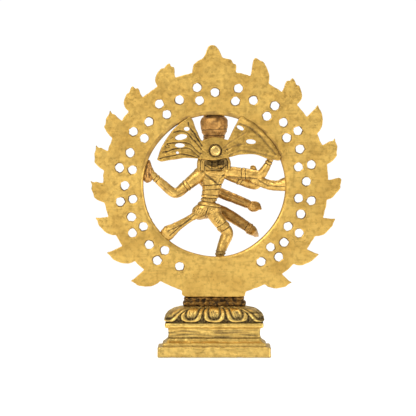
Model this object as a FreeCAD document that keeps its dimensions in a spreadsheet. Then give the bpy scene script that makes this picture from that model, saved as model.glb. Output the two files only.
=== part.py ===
"""A brass dancing figure in a ring of flames, on a stepped lotus pedestal.

The statue is a set of separate brass castings. A hollow pedestal carries a neck block, held by one screw from
below. The flat flame ring stands against the back of the neck block. The dancer is cast in pieces, because the
arms and the raised leg lie across the trunk and no two-part mould could release them, and the pieces are brazed
face to face. The hair fan is a plate riveted through its hub to the back of the head.

Frame: millimetres, +Z up, origin on the resting plane under the middle of the pedestal. The dancer faces -Y, so
the dancer's left is +X and the plain back of the ring faces +Y.
"""

import FreeCAD
import Part
import math
import os
import Sketcher
from FreeCAD import Placement, Rotation, Vector

os.makedirs("parts", exist_ok=True)
doc = FreeCAD.newDocument("dancer_in_flame_ring")

# ---------------------------------------------------------------- driving dimensions

DIMENSIONS = {
    # pedestal, from the bottom up; an inset is measured from the slab's edge
    "slab_width": 68.8,
    "slab_depth": 50.0,
    "slab_height": 6.3,
    "slab_corner": 1.6,
    "slab_bevel": 0.6,
    "cavetto_height": 5.1,
    "cavetto_foot_inset": 2.9,
    "cavetto_top_inset": 6.1,
    "waist_height": 6.3,
    "waist_inset": 6.4,
    "rim_height": 3.2,
    "rim_inset": 4.4,
    "lotus_height": 9.4,
    "lotus_belly_inset": 3.9,
    "lotus_top_inset": 14.9,
    "lotus_corner": 7.0,
    "pedestal_wall": 3.6,
    "pedestal_roof": 5.0,
    # neck block between the lotus and the dwarf
    "roll_width": 38.0,
    "roll_depth": 19.0,
    "roll_height": 3.2,
    "roll_rounding": 1.15,
    "collar_setback": 1.4,
    "collar_width": 36.0,
    "block_width": 34.0,
    "neck_back_setback": 0.5,
    # flame ring
    "ring_radius": 68.6,
    "ring_thickness": 3.2,
    "ring_back": 8.0,
    "ring_lift": 5.9,
    "opening_radius": 43.2,
    "opening_offset_x": 0.9,
    "opening_offset_z": -1.6,
    "opening_bevel": 1.7,
    "rim_bead_width": 3.4,
    "rim_bead_height": 1.8,
    "foot_width": 36.6,
    "ring_heel": 0.8,
    "flame_root": 1.6,
    "flame_width": 12.0,
    "flame_height": 9.4,
    "top_flame_width": 27.0,
    "top_flame_height": 15.6,
    "hole_diameter": 5.0,
    "hole_row_step": 3.95,
    "hole_row_inset": 0.6,
    # dancer, dwarf and hair fan
    "sole_drop": 3.3,
    "dwarf_height": 14.0,
    "fan_thickness": 2.2,
    "fan_lap": 0.4,
    "fan_hub_diameter": 8.6,
    "rivet_shank_diameter": 3.0,
    "rivet_head_diameter": 6.2,
    "rivet_head_height": 1.5,
    "rivet_rounding": 0.6,
    "rivet_depth": 9.0,
    # fixing screw and washer, inside the pedestal
    "screw_diameter": 5.0,
    "screw_clearance": 0.5,
    "screw_grip": 9.0,
    "screw_head_flats": 8.0,
    "screw_head_height": 3.5,
    "washer_diameter": 12.0,
    "washer_thickness": 1.0,
}

dims = doc.addObject("Spreadsheet::Sheet", "Dims")
for row, (alias, number) in enumerate(DIMENSIONS.items(), start=1):
    dims.set(f"A{row}", alias)
    dims.set(f"B{row}", str(number))
    dims.setAlias(f"B{row}", alias)
doc.recompute()


def value(expression):
    """The number that a sheet expression has now, in millimetres."""
    return float(dims.evalExpression(expression))


# Heights and places that follow from the driving dimensions, as sheet expressions.
CAVETTO_TOP = "Dims.slab_height + Dims.cavetto_height"
WAIST_TOP = f"{CAVETTO_TOP} + Dims.waist_height"
RIM_TOP = f"{WAIST_TOP} + Dims.rim_height"
PEDESTAL_TOP = f"{RIM_TOP} + Dims.lotus_height"
HOLLOW_TOP = f"{PEDESTAL_TOP} - Dims.pedestal_roof"
FOOT_Z = f"{PEDESTAL_TOP} + Dims.ring_lift"
RING_CENTRE_Z = f"{FOOT_Z} + Dims.ring_radius + Dims.ring_heel"
RING_CENTRE_X = "-Dims.opening_offset_x"
OPENING_Z = f"{RING_CENTRE_Z} + Dims.opening_offset_z"
RING_FRONT = "Dims.ring_back - Dims.ring_thickness"
NECK_BACK = "Dims.ring_back - Dims.neck_back_setback"
SCREW_Y = f"{NECK_BACK} - Dims.roll_depth / 2"

# The dancer is drawn for an opening of this radius, and grows with the opening.
DRAWN_OPENING_RADIUS = 43.2
FIGURE_SCALE = f"Dims.opening_radius / {DRAWN_OPENING_RADIUS}"
SOLE_Z = f"{OPENING_Z} - Dims.opening_radius - Dims.sole_drop * {FIGURE_SCALE}"
NECK_TOP = f"{SOLE_Z} - Dims.dwarf_height"

# ---------------------------------------------------------------- helpers for features

TINY = 0.01


def new_body(name):
    """An empty PartDesign body with a plain name of its own."""
    body = doc.addObject("PartDesign::Body", name)
    body.Label = name
    return body


def plane_sketch(body, name, role, offset="0", shift_x="0", shift_y="0"):
    """A sketch on one of the body's own origin planes, moved along its normal and in its plane."""
    sketch = body.newObject("Sketcher::SketchObject", name)
    plane = next(f for f in body.Origin.OriginFeatures if f.Role == role)
    sketch.AttachmentSupport = [(plane, "")]
    sketch.MapMode = "FlatFace"
    sketch.setExpression("AttachmentOffset.Base.x", shift_x)
    sketch.setExpression("AttachmentOffset.Base.y", shift_y)
    sketch.setExpression("AttachmentOffset.Base.z", offset)
    return sketch


def named_length(sketch, constraint, name, expression):
    """Adds a dimension to a sketch, names it and binds it to the sheet."""
    index = sketch.addConstraint(constraint)
    sketch.renameConstraint(index, name)
    sketch.setExpression(f"Constraints.{name}", expression)


def round_cornered(sketch, width, depth, corner):
    """A rectangle with round corners about the sketch's origin, sized by three sheet expressions."""
    half_w, half_d, r = value(width) / 2, value(depth) / 2, value(corner)
    for quarter, (right, up) in enumerate([(1, 1), (-1, 1), (-1, -1), (1, -1)]):
        x, y = right * (half_w - r), up * (half_d - r)
        start = quarter * math.pi / 2
        circle = Part.Circle(Vector(x, y, 0), Vector(0, 0, 1), r)
        sketch.addGeometry(Part.ArcOfCircle(circle, start, start + math.pi / 2))
    for arc in range(4):
        following = (arc + 1) % 4
        start = sketch.getPoint(arc, 2)
        end = sketch.getPoint(following, 1)
        line = sketch.addGeometry(Part.LineSegment(start, end))
        sketch.addConstraint(Sketcher.Constraint("Tangent", arc, 2, line, 1))
        sketch.addConstraint(Sketcher.Constraint("Tangent", line, 2, following, 1))
        sketch.addConstraint(Sketcher.Constraint("Vertical" if arc % 2 else "Horizontal", line))
        if arc:
            sketch.addConstraint(Sketcher.Constraint("Equal", 0, arc))
    sketch.addConstraint(Sketcher.Constraint("Symmetric", 0, 3, 2, 3, -1, 1))
    named_length(sketch, Sketcher.Constraint("Radius", 0, r), "corner", corner)
    span = Sketcher.Constraint("DistanceX", 2, 3, 0, 3, 2 * (half_w - r))
    named_length(sketch, span, "span", f"{width} - 2 * ({corner})")
    rise = Sketcher.Constraint("DistanceY", 2, 3, 0, 3, 2 * (half_d - r))
    named_length(sketch, rise, "rise", f"{depth} - 2 * ({corner})")


def circle_at(sketch, x, y, diameter, name):
    """A circle in a sketch, with its diameter bound to the sheet."""
    index = sketch.addGeometry(Part.Circle(Vector(x, y, 0), Vector(0, 0, 1), value(diameter) / 2))
    named_length(sketch, Sketcher.Constraint("Diameter", index, value(diameter)), name, diameter)
    return index


def closed_outline(sketch, edges):
    """Adds edges that follow one another round a closed loop, and joins them end to end."""
    numbers = [sketch.addGeometry(edge) for edge in edges]
    for here, following in zip(numbers, numbers[1:] + numbers[:1]):
        gaps = {}
        for a in (1, 2):
            for b in (1, 2):
                gaps[(a, b)] = (sketch.getPoint(here, a) - sketch.getPoint(following, b)).Length
        a, b = min(gaps, key=gaps.get)
        sketch.addConstraint(Sketcher.Constraint("Coincident", here, a, following, b))


def straight_edges(corners):
    """The straight sides of a closed polygon."""
    return [Part.LineSegment(a, b) for a, b in zip(corners, corners[1:] + corners[:1])]


def pad(body, name, sketch, length, reverse=False):
    feature = body.newObject("PartDesign::Pad", name)
    feature.Profile = sketch
    feature.setExpression("Length", length)
    feature.Reversed = reverse
    return feature


def pocket(body, name, sketch, length, reverse=False):
    feature = body.newObject("PartDesign::Pocket", name)
    feature.Profile = sketch
    feature.setExpression("Length", length)
    feature.Reversed = reverse
    return feature


def loft(body, name, sketches):
    feature = body.newObject("PartDesign::AdditiveLoft", name)
    feature.Profile = sketches[0]
    feature.Sections = sketches[1:]
    feature.Ruled = True
    return feature


def revolve(body, name, sketch):
    """Turns a profile once round its sketch's vertical axis."""
    feature = body.newObject("PartDesign::Revolution", name)
    feature.Profile = sketch
    feature.ReferenceAxis = (sketch, ["V_Axis"])
    feature.Angle = 360
    return feature


def fitted(label, solid, neighbours):
    """A piece cut back to the faces of the pieces that it is brazed or seated against."""
    for number, neighbour in enumerate(neighbours, start=1):
        cut = doc.addObject("Part::Cut", f"{label}_fit{number}")
        cut.Base = solid
        cut.Tool = neighbour
        solid = cut
    solid.Label = label
    return solid


def fused(name, solids):
    feature = doc.addObject("Part::MultiFuse", name)
    feature.Shapes = solids
    return feature


# ---------------------------------------------------------------- pedestal


def tier_sketch(body, name, inset, height, corner="Dims.slab_corner"):
    """One level outline of the pedestal: the slab's rectangle drawn in by an inset, at a height."""
    sketch = plane_sketch(body, name, "XY_Plane", offset=height)
    round_cornered(sketch, f"Dims.slab_width - 2 * ({inset})", f"Dims.slab_depth - 2 * ({inset})", corner)
    return sketch


pedestal = new_body("pedestal")
slab = pad(pedestal, "Slab", tier_sketch(pedestal, "SlabOutline", "0", "0"), "Dims.slab_height")
doc.recompute()
slab_top = value("Dims.slab_height") - TINY
slab_edges = [f"Edge{i}" for i, e in enumerate(slab.Shape.Edges, start=1) if e.BoundBox.ZMin > slab_top]
bevel = pedestal.newObject("PartDesign::Chamfer", "SlabBevel")
bevel.Base = (slab, slab_edges)
bevel.setExpression("Size", "Dims.slab_bevel")
loft(
    pedestal,
    "Cavetto",
    [
        tier_sketch(pedestal, "CavettoFoot", "Dims.cavetto_foot_inset", "Dims.slab_height"),
        tier_sketch(pedestal, "CavettoTop", "Dims.cavetto_top_inset", CAVETTO_TOP),
    ],
)
waist_sketch = tier_sketch(pedestal, "WaistOutline", "Dims.waist_inset", CAVETTO_TOP)
pad(pedestal, "Waist", waist_sketch, "Dims.waist_height")
pad(pedestal, "Rim", tier_sketch(pedestal, "RimOutline", "Dims.rim_inset", WAIST_TOP), "Dims.rim_height")
# The lotus cushion swells just above the rim and then rolls in to the neck: height share, inset share.
LOTUS_SECTIONS = [(0.0, 0.06), (0.16, 0.0), (0.34, 0.02), (0.52, 0.11), (0.68, 0.27), (0.84, 0.54), (1.0, 1.0)]
lotus_sketches = []
for rise, draw_in in LOTUS_SECTIONS:
    lotus_sketches.append(
        tier_sketch(
            pedestal,
            f"LotusAt{round(rise * 100)}",
            f"Dims.lotus_belly_inset + {draw_in} * (Dims.lotus_top_inset - Dims.lotus_belly_inset)",
            f"{RIM_TOP} + {rise} * Dims.lotus_height",
            "Dims.lotus_corner",
        )
    )
loft(pedestal, "Lotus", lotus_sketches)
hollow_sketch = tier_sketch(pedestal, "HollowOutline", "Dims.waist_inset + Dims.pedestal_wall", "0")
pocket(pedestal, "Hollow", hollow_sketch, HOLLOW_TOP, reverse=True)
screw_way = plane_sketch(pedestal, "ScrewWay", "XY_Plane", offset=HOLLOW_TOP, shift_y=SCREW_Y)
circle_at(screw_way, 0, 0, "Dims.screw_diameter + Dims.screw_clearance", "way")
pocket(pedestal, "ScrewHole", screw_way, "Dims.pedestal_roof + 1", reverse=True)

# ---------------------------------------------------------------- neck block

neck_block = new_body("neck_block")
roll_sketch = plane_sketch(neck_block, "RollOutline", "XY_Plane", offset=PEDESTAL_TOP, shift_y=SCREW_Y)
round_cornered(roll_sketch, "Dims.roll_width", "Dims.roll_depth", "Dims.slab_corner")
roll = pad(neck_block, "Roll", roll_sketch, "Dims.roll_height")
doc.recompute()
roll_edges = [
    f"Edge{i}" for i, e in enumerate(roll.Shape.Edges, start=1) if e.BoundBox.ZMax - e.BoundBox.ZMin < TINY
]
rounding = neck_block.newObject("PartDesign::Fillet", "RollRounding")
rounding.Base = (roll, roll_edges)
rounding.setExpression("Radius", "Dims.roll_rounding")
COLLAR_DEPTH = "Dims.roll_depth - Dims.collar_setback"
collar_foot = f"{PEDESTAL_TOP} + Dims.roll_height / 2"
collar_sketch = plane_sketch(neck_block, "CollarOutline", "XY_Plane", offset=collar_foot, shift_y=SCREW_Y)
round_cornered(collar_sketch, "Dims.collar_width", COLLAR_DEPTH, "Dims.slab_corner")
pad(neck_block, "Collar", collar_sketch, "Dims.ring_lift - Dims.roll_height / 2")
# Above the collar the block stands in front of the ring's foot, which rests on the collar.
BLOCK_BACK = f"({RING_FRONT})"
BLOCK_FRONT = f"({SCREW_Y} - ({COLLAR_DEPTH}) / 2)"
block_sketch = plane_sketch(
    neck_block, "BlockOutline", "XY_Plane", offset=FOOT_Z, shift_y=f"({BLOCK_BACK} + {BLOCK_FRONT}) / 2"
)
round_cornered(block_sketch, "Dims.block_width", f"{BLOCK_BACK} - {BLOCK_FRONT}", "Dims.slab_corner")
pad(neck_block, "Block", block_sketch, f"{NECK_TOP} - ({FOOT_Z})")
tapped_sketch = plane_sketch(neck_block, "TappedHole", "XY_Plane", offset=PEDESTAL_TOP, shift_y=SCREW_Y)
circle_at(tapped_sketch, 0, 0, "Dims.screw_diameter", "thread")
pocket(neck_block, "Tapping", tapped_sketch, "Dims.screw_grip + 1", reverse=True)

# ---------------------------------------------------------------- fixing screw and washer

fixing_washer = new_body("fixing_washer")
washer_sketch = plane_sketch(
    fixing_washer, "WasherOutline", "XY_Plane", offset=f"{HOLLOW_TOP} - Dims.washer_thickness", shift_y=SCREW_Y
)
circle_at(washer_sketch, 0, 0, "Dims.washer_diameter", "outside")
circle_at(washer_sketch, 0, 0, "Dims.screw_diameter + Dims.screw_clearance", "inside")
pad(fixing_washer, "WasherDisc", washer_sketch, "Dims.washer_thickness")

fixing_screw = new_body("fixing_screw")
HEAD_TOP = f"{HOLLOW_TOP} - Dims.washer_thickness"
head_sketch = plane_sketch(
    fixing_screw, "HexHead", "XY_Plane", offset=f"{HEAD_TOP} - Dims.screw_head_height", shift_y=SCREW_Y
)
corner_radius = value("Dims.screw_head_flats") / math.sqrt(3)
corners = []
for turn in (k * math.pi / 3 for k in range(6)):
    corners.append(Vector(corner_radius * math.cos(turn), corner_radius * math.sin(turn), 0))
closed_outline(head_sketch, straight_edges(corners))
pad(fixing_screw, "Head", head_sketch, "Dims.screw_head_height")
shank_sketch = plane_sketch(fixing_screw, "ShankOutline", "XY_Plane", offset=HEAD_TOP, shift_y=SCREW_Y)
circle_at(shank_sketch, 0, 0, "Dims.screw_diameter", "shank")
pad(fixing_screw, "Shank", shank_sketch, "Dims.washer_thickness + Dims.pedestal_roof + Dims.screw_grip")

# ---------------------------------------------------------------- flame ring

# Angles are degrees from the top of the ring. Side +1 is the dancer's left (+X) and side -1 the dancer's right.
FLAME_ANGLES = {+1: [26, 45.5, 61.5, 78.5, 95, 112.5, 129, 145.5], -1: [23, 41, 59, 75.5, 93.5, 113, 131, 149]}
# How tall each flame stands as a share of flame_height, from the top of the ring down.
FLAME_GROWTH = {
    +1: [1.04, 0.98, 1.01, 0.84, 0.8, 0.82, 1.1, 1.12],
    -1: [1.23, 1.14, 1.04, 0.96, 0.86, 0.81, 0.82, 0.86],
}
FLAME_KINDS = {
    +1: ["forked", "forked", "notched", "notched", "notched", "leaf", "leaf", "leaf"],
    -1: ["blunt", "forked", "leaf", "notched", "blunt", "leaf", "leaf", "leaf"],
}
# The drilled holes go round in pairs, one outer and one inner, with a single hole between each two pairs.
PAIR_ANGLES = {+1: [11, 35.5, 58, 81, 101, 121, 143], -1: [13.5, 37.5, 57.5, 79, 100.5, 121, 139.5]}
SINGLE_ANGLES = {+1: [0.5, 23.5, 47.5, 70.5, 91.5, 112, 133, 156.5], -1: [24.5, 48, 68, 89, 110, 131, 150]}
# A flame's outline in shares of its width (towards the top of the ring) and of its height (outwards): the arc
# of its belly, then the points of its teeth up to its tip and back down to its root.
FLAME_BELLIES = {
    "forked": [(0.0, 0.0), (0.03, 0.36), (0.3, 0.72)],
    "notched": [(0.0, 0.0), (0.13, 0.45), (0.33, 0.82)],
    "leaf": [(0.0, 0.0), (0.14, 0.38), (0.4, 0.68)],
    "blunt": [(0.0, 0.0), (0.1, 0.32), (0.4, 0.69)],
}
FLAME_TEETH = {
    "forked": [(0.55, 0.9), (0.66, 0.82), (1.0, 1.0), (1.0, 0.76), (1.1, 0.68), (1.04, 0.36)],
    "notched": [(0.45, 0.8), (0.72, 0.97), (1.12, 1.0), (1.0, 0.78), (1.06, 0.52)],
    "leaf": [(0.56, 0.8), (0.76, 0.93), (1.15, 1.0), (1.06, 0.56), (1.04, 0.42)],
    "blunt": [(0.63, 0.92), (0.78, 0.93), (1.04, 1.0), (1.08, 0.6)],
}
# The crown flame's outline on each side: share of the half width, share of the height above the disc's edge.
TOP_FLAME_STEPS = {
    +1: [(1.0, 0.0), (0.94, 0.3), (0.73, 0.4), (0.48, 0.51), (0.33, 0.8)],
    -1: [(0.97, 0.0), (1.0, 0.28), (0.86, 0.31), (0.79, 0.43), (0.37, 0.51), (0.19, 0.83)],
}
TOP_FLAME_TIP = 0.08


def on_ring(angle, radius, side=1):
    """A point of the ring's face in its sketch, from an angle off the top and a radius."""
    turn = math.radians(angle)
    return Vector(side * radius * math.sin(turn), radius * math.cos(turn), 0)


def flame_edges(side, angle, height, kind):
    """One flame as a closed loop of edges, with its root sunk into the disc."""
    ring_radius, width, root = value("Dims.ring_radius"), value("Dims.flame_width"), value("Dims.flame_root")

    def place(along, out):
        """along runs towards the top of the ring, out away from the disc's edge."""
        degrees_off = math.degrees((0.5 - along) * width / ring_radius)
        return on_ring(angle + degrees_off, ring_radius + out * height, side)

    belly = [place(*share) for share in FLAME_BELLIES[kind]]
    teeth = [place(*share) for share in FLAME_TEETH[kind]]
    roots = [place(1.0, 0.0), place(1.0, -root / height), place(0.0, -root / height)]
    corners = [belly[-1]] + teeth + roots + [belly[0]]
    edges = [Part.Arc(*belly)]
    edges += [Part.LineSegment(a, b) for a, b in zip(corners, corners[1:])]
    return edges


def top_flame_edges():
    """The crown flame: a stepped leaf with a round tip, straight above the opening."""
    half, root = value("Dims.top_flame_width") / 2, value("Dims.flame_root")
    ring_radius, middle = value("Dims.ring_radius"), value("Dims.opening_offset_x")
    tip_height = ring_radius + value("Dims.top_flame_height")

    def place(across, up):
        """across is a share of the half width, up a share of the way from the disc's edge to the tip."""
        x = middle + across * half
        edge = math.sqrt(ring_radius**2 - x**2)
        return Vector(x, edge + up * (tip_height - edge), 0)

    left = [place(across, up) for across, up in TOP_FLAME_STEPS[+1]]
    right = [place(-across, up) for across, up in reversed(TOP_FLAME_STEPS[-1])]
    low_right = Vector(right[-1].x, right[-1].y - 2 * root, 0)
    low_left = Vector(left[0].x, left[0].y - 2 * root, 0)
    corners = right + [low_right, low_left, left[0]]
    edges = [Part.LineSegment(a, b) for a, b in zip(left, left[1:])]
    edges.append(Part.Arc(left[-1], place(TOP_FLAME_TIP, 1.0), right[0]))
    edges += [Part.LineSegment(a, b) for a, b in zip(corners, corners[1:])]
    return edges


def ring_sketch(name, offset):
    """A sketch in the ring's plane about the disc's centre. Its normal points to -Y, the front."""
    return plane_sketch(
        flame_ring, name, "XZ_Plane", offset=f"-({offset})", shift_x=RING_CENTRE_X, shift_y=RING_CENTRE_Z
    )


flame_ring = new_body("flame_ring")
OPENING_X_IN_RING = value("Dims.opening_offset_x")
OPENING_Z_IN_RING = value("Dims.opening_offset_z")
OPENING_DIAMETER = "2 * Dims.opening_radius"
INNER_BEAD_DIAMETER = f"{OPENING_DIAMETER} + 2 * Dims.rim_bead_width"
# Cuts through the ring start a little behind it and run out in front of its beads.
THROUGH_RING = "Dims.ring_thickness + Dims.rim_bead_height + 2"

disc_sketch = ring_sketch("DiscOutline", "Dims.ring_back")
circle_at(disc_sketch, 0, 0, "2 * Dims.ring_radius", "outside")
pad(flame_ring, "Disc", disc_sketch, "Dims.ring_thickness")

flame_sketch = ring_sketch("FlameOutlines", "Dims.ring_back")
for side, angles in FLAME_ANGLES.items():
    for angle, growth, kind in zip(angles, FLAME_GROWTH[side], FLAME_KINDS[side]):
        closed_outline(flame_sketch, flame_edges(side, angle, growth * value("Dims.flame_height"), kind))
pad(flame_ring, "Flames", flame_sketch, "Dims.ring_thickness")
crown_flame_sketch = ring_sketch("CrownFlameOutline", "Dims.ring_back")
closed_outline(crown_flame_sketch, top_flame_edges())
pad(flame_ring, "CrownFlame", crown_flame_sketch, "Dims.ring_thickness")

# The foot squares off the bottom of the disc, so that the ring stands on the neck block's collar.
foot_sketch = ring_sketch("FootOutline", "Dims.ring_back")
half_foot = value("Dims.foot_width") / 2
foot_bottom = value(FOOT_Z) - value(RING_CENTRE_Z)
foot_top = foot_bottom + half_foot / 2
foot_corners = [
    Vector(half_foot, foot_bottom, 0),
    Vector(half_foot, foot_top, 0),
    Vector(-half_foot, foot_top, 0),
    Vector(-half_foot, foot_bottom, 0),
]
closed_outline(foot_sketch, straight_edges(foot_corners))
pad(flame_ring, "Foot", foot_sketch, "Dims.ring_thickness")

# Two raised beads on the front face, one round the disc's edge and one round the opening.
outer_bead_sketch = ring_sketch("OuterBeadOutline", RING_FRONT)
circle_at(outer_bead_sketch, 0, 0, "2 * Dims.ring_radius - 1", "outside")
circle_at(outer_bead_sketch, 0, 0, "2 * Dims.ring_radius - 1 - 2 * Dims.rim_bead_width", "inside")
pad(flame_ring, "OuterBead", outer_bead_sketch, "Dims.rim_bead_height")
inner_bead_sketch = ring_sketch("InnerBeadOutline", RING_FRONT)
circle_at(inner_bead_sketch, OPENING_X_IN_RING, OPENING_Z_IN_RING, INNER_BEAD_DIAMETER, "outside")
pad(flame_ring, "InnerBead", inner_bead_sketch, "Dims.rim_bead_height")

opening_sketch = ring_sketch("OpeningOutline", "Dims.ring_back + 1")
circle_at(opening_sketch, OPENING_X_IN_RING, OPENING_Z_IN_RING, OPENING_DIAMETER, "opening")
opening = pocket(flame_ring, "Opening", opening_sketch, THROUGH_RING, reverse=True)

doc.recompute()
back_edges = []
for number, edge in enumerate(opening.Shape.Edges, start=1):
    on_back = edge.BoundBox.YMin > value("Dims.ring_back") - TINY
    if on_back and abs(edge.BoundBox.XLength - value(OPENING_DIAMETER)) < TINY:
        back_edges.append(f"Edge{number}")
opening_bevel = flame_ring.newObject("PartDesign::Chamfer", "OpeningBevel")
opening_bevel.Base = (opening, back_edges)
opening_bevel.setExpression("Size", "Dims.opening_bevel")

hole_sketch = ring_sketch("DrilledHoles", "Dims.ring_back + 1")
hole_places = []
middle_row = value("(Dims.ring_radius + Dims.opening_radius) / 2 - Dims.hole_row_inset")
row_step = value("Dims.hole_row_step")
for side in (+1, -1):
    for angle in PAIR_ANGLES[side]:
        hole_places.append(on_ring(angle, middle_row + row_step, side))
        hole_places.append(on_ring(angle, middle_row - row_step, side))
    for angle in SINGLE_ANGLES[side]:
        hole_places.append(on_ring(angle, middle_row, side))
for number, place in enumerate(hole_places, start=1):
    circle_at(hole_sketch, place.x, place.y, "Dims.hole_diameter", f"drill{number}")
pocket(flame_ring, "Drilling", hole_sketch, THROUGH_RING, reverse=True)
# The neck block's front half rises in front of the ring's foot, so the beads stop short of it.
bead_stop_sketch = ring_sketch("BeadStopOutline", RING_FRONT)
half_stop = value("Dims.block_width") / 2 + 1
stop_top = value(NECK_TOP) - value(RING_CENTRE_Z)
stop_corners = [
    Vector(half_stop, foot_bottom - 3, 0),
    Vector(half_stop, stop_top, 0),
    Vector(-half_stop, stop_top, 0),
    Vector(-half_stop, foot_bottom - 3, 0),
]
closed_outline(bead_stop_sketch, straight_edges(stop_corners))
pocket(flame_ring, "BeadStop", bead_stop_sketch, "Dims.rim_bead_height + 1", reverse=True)

# ---------------------------------------------------------------- the dancer's limbs and trunk


def on_figure(x, y, z):
    """A place on the dancer: x and z from the opening's centre, y from the frame's origin."""
    grow = value(FIGURE_SCALE)
    return Vector(x * grow, y * grow, value(OPENING_Z) + z * grow)


def ball(name, place, radius, pole):
    """A round mass on the dancer, with its poles along the limb so that the bars swallow them."""
    solid = doc.addObject("Part::Sphere", name)
    solid.setExpression("Radius", f"{radius} * {FIGURE_SCALE}")
    solid.Placement = Placement(place, Rotation(Vector(0, 0, 1), pole))
    return solid


def taper(name, start, end):
    """A tapered bar between two stations (x, y, z, radius)."""
    low, high = on_figure(*start[:3]), on_figure(*end[:3])
    solid = doc.addObject("Part::Cone", name)
    solid.setExpression("Radius1", f"{start[3]} * {FIGURE_SCALE}")
    solid.setExpression("Radius2", f"{end[3]} * {FIGURE_SCALE}")
    solid.Height = (high - low).Length
    solid.Placement = Placement(low, Rotation(Vector(0, 0, 1), high - low))
    return solid


def limb(name, stations):
    """A limb through stations (x, y, z, radius): tapered bars, with a slightly fuller ball at every joint."""
    places = [on_figure(*station[:3]) for station in stations]
    solids = []
    for k, station in enumerate(stations):
        pole = places[k + 1] - places[k] if k + 1 < len(places) else places[k] - places[k - 1]
        solids.append(ball(f"{name}_joint{k}", places[k], 1.04 * station[3], pole))
    for k, (start, end) in enumerate(zip(stations, stations[1:])):
        solids.append(taper(f"{name}_bar{k}", start, end))
    return fused(f"{name}_whole", solids)


# Stations run x, y, z, radius. A piece that is brazed on later is cut back to the earlier pieces' faces.
TRUNK_PARTS = {
    "shoulders": [(6.0, -1.7, 7.6, 3.9), (-5.0, -1.7, 7.8, 3.8)],
    "left_flank": [(4.6, -1.9, 5.4, 4.2), (3.9, -2.0, -6.0, 3.55)],
    "right_flank": [(-2.6, -1.8, 5.6, 4.1), (2.0, -2.1, -6.4, 3.45)],
    "hips": [(0.6, -2.5, -14.6, 4.7), (9.4, -2.5, -16.4, 4.5)],
    "belly": [(3.0, -2.3, -6.2, 4.0), (4.4, -2.8, -12.4, 4.9)],
}
trunk_solids = [limb(name, stations) for name, stations in TRUNK_PARTS.items()]
torso = fused("torso", trunk_solids)
torso.Label = "torso"

STANDING_LEG = [
    (0.4, -2.6, -17.4, 4.3),
    (-5.0, -3.2, -24.6, 3.6),
    (-7.6, -3.8, -28.9, 3.5),
    (-6.2, -3.2, -34.4, 3.1),
    (-3.4, -2.7, -41.6, 2.3),
    (-3.2, -2.7, -44.6, 2.4),
]
STANDING_FOOT = [(-3.2, -1.8, -45.0, 1.9), (-4.2, -8.0, -45.2, 1.6)]
standing_leg_parts = [limb("standing_leg", STANDING_LEG), limb("standing_foot", STANDING_FOOT)]
standing_leg = fitted("standing_leg", fused("standing_leg_all", standing_leg_parts), [torso])

RAISED_LEG = [
    (9.2, -3.6, -17.2, 3.9),
    (4.2, -10.0, -16.6, 3.8),
    (-2.6, -13.2, -15.2, 3.5),
    (-9.0, -13.4, -18.4, 3.2),
    (-17.0, -13.0, -23.6, 2.6),
    (-23.6, -12.8, -28.0, 2.3),
]
RAISED_FOOT = [(-24.2, -12.2, -28.4, 2.7), (-25.8, -19.0, -30.2, 1.7)]
raised_leg_parts = [limb("raised_leg", RAISED_LEG), limb("raised_foot", RAISED_FOOT)]
raised_leg = fitted("raised_leg", fused("raised_leg_all", raised_leg_parts), [torso, standing_leg])

REAR_LEFT_ARM = [
    (8.6, -0.8, 6.6, 3.6),
    (17.0, 0.2, -0.2, 3.0),
    (23.8, 1.3, -5.0, 2.7),
    (31.6, 2.6, 0.8, 2.3),
    (38.8, 3.9, 7.4, 2.0),
]
rear_left_arm = fitted("rear_left_arm", limb("rear_left_arm", REAR_LEFT_ARM), [torso, flame_ring])

REAR_RIGHT_ARM = [
    (-8.6, -0.8, 8.0, 3.4),
    (-18.4, 0.6, 7.4, 3.0),
    (-26.8, 1.4, 6.2, 2.7),
    (-31.0, 1.9, 10.6, 2.2),
    (-34.6, 2.2, 17.0, 1.9),
]
rear_right_arm = fitted("rear_right_arm", limb("rear_right_arm", REAR_RIGHT_ARM), [torso, flame_ring])

FRONT_LEFT_ARM = [
    (7.4, -5.2, 6.8, 2.8),
    (8.2, -10.6, 3.2, 2.9),
    (-1.6, -12.8, -3.6, 2.7),
    (-13.0, -12.8, -8.4, 2.4),
    (-20.6, -12.7, -11.4, 1.9),
    (-28.0, -12.5, -14.4, 1.6),
]
front_left_arm = fitted("front_left_arm", limb("front_left_arm", FRONT_LEFT_ARM), [torso, rear_left_arm])

FRONT_RIGHT_ARM = [
    (-8.2, -4.6, 6.6, 3.0),
    (-16.6, -6.8, 2.4, 2.8),
    (-24.6, -9.4, -0.4, 2.6),
    (-25.4, -13.0, 6.6, 2.0),
    (-24.0, -13.4, 12.4, 1.6),
]
front_right_arm = fitted("front_right_arm", limb("front_right_arm", FRONT_RIGHT_ARM), [torso, rear_right_arm])

HIP_SASH = [(10.0, -0.4, -17.6, 1.8), (17.0, 2.6, -22.6, 1.7), (24.2, 5.2, -26.8, 2.2), (30.6, 6.0, -30.8, 2.8)]
hip_sash = fitted("hip_sash", limb("hip_sash", HIP_SASH), [torso, flame_ring])

ELBOW_TIE = [(-26.4, 2.0, 3.6, 1.9), (-32.4, 3.2, -0.4, 1.8), (-38.6, 5.0, -1.4, 2.0), (-44.2, 6.6, -0.8, 2.4)]
elbow_tie = fitted("elbow_tie", limb("elbow_tie", ELBOW_TIE), [rear_right_arm, flame_ring])

# ---------------------------------------------------------------- head, crown, hair fan and rivet

HEAD_PARTS = {
    "skull": [(-0.6, -1.2, 22.4, 5.9), (-0.6, -2.6, 18.2, 4.6)],
    "neck": [(0.0, -1.6, 8.6, 3.3), (-0.6, -1.4, 18.0, 3.2)],
    "left_lock": [(8.8, 1.0, 9.0, 1.7), (8.4, 1.4, 15.4, 1.7), (3.4, 0.8, 20.6, 2.4)],
    "right_lock": [(-8.4, 1.0, 9.4, 1.6), (-8.4, 1.2, 15.0, 1.6), (-4.4, 0.8, 20.2, 2.2)],
}
FAN_HUB = (-0.7, 21.3)
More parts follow.
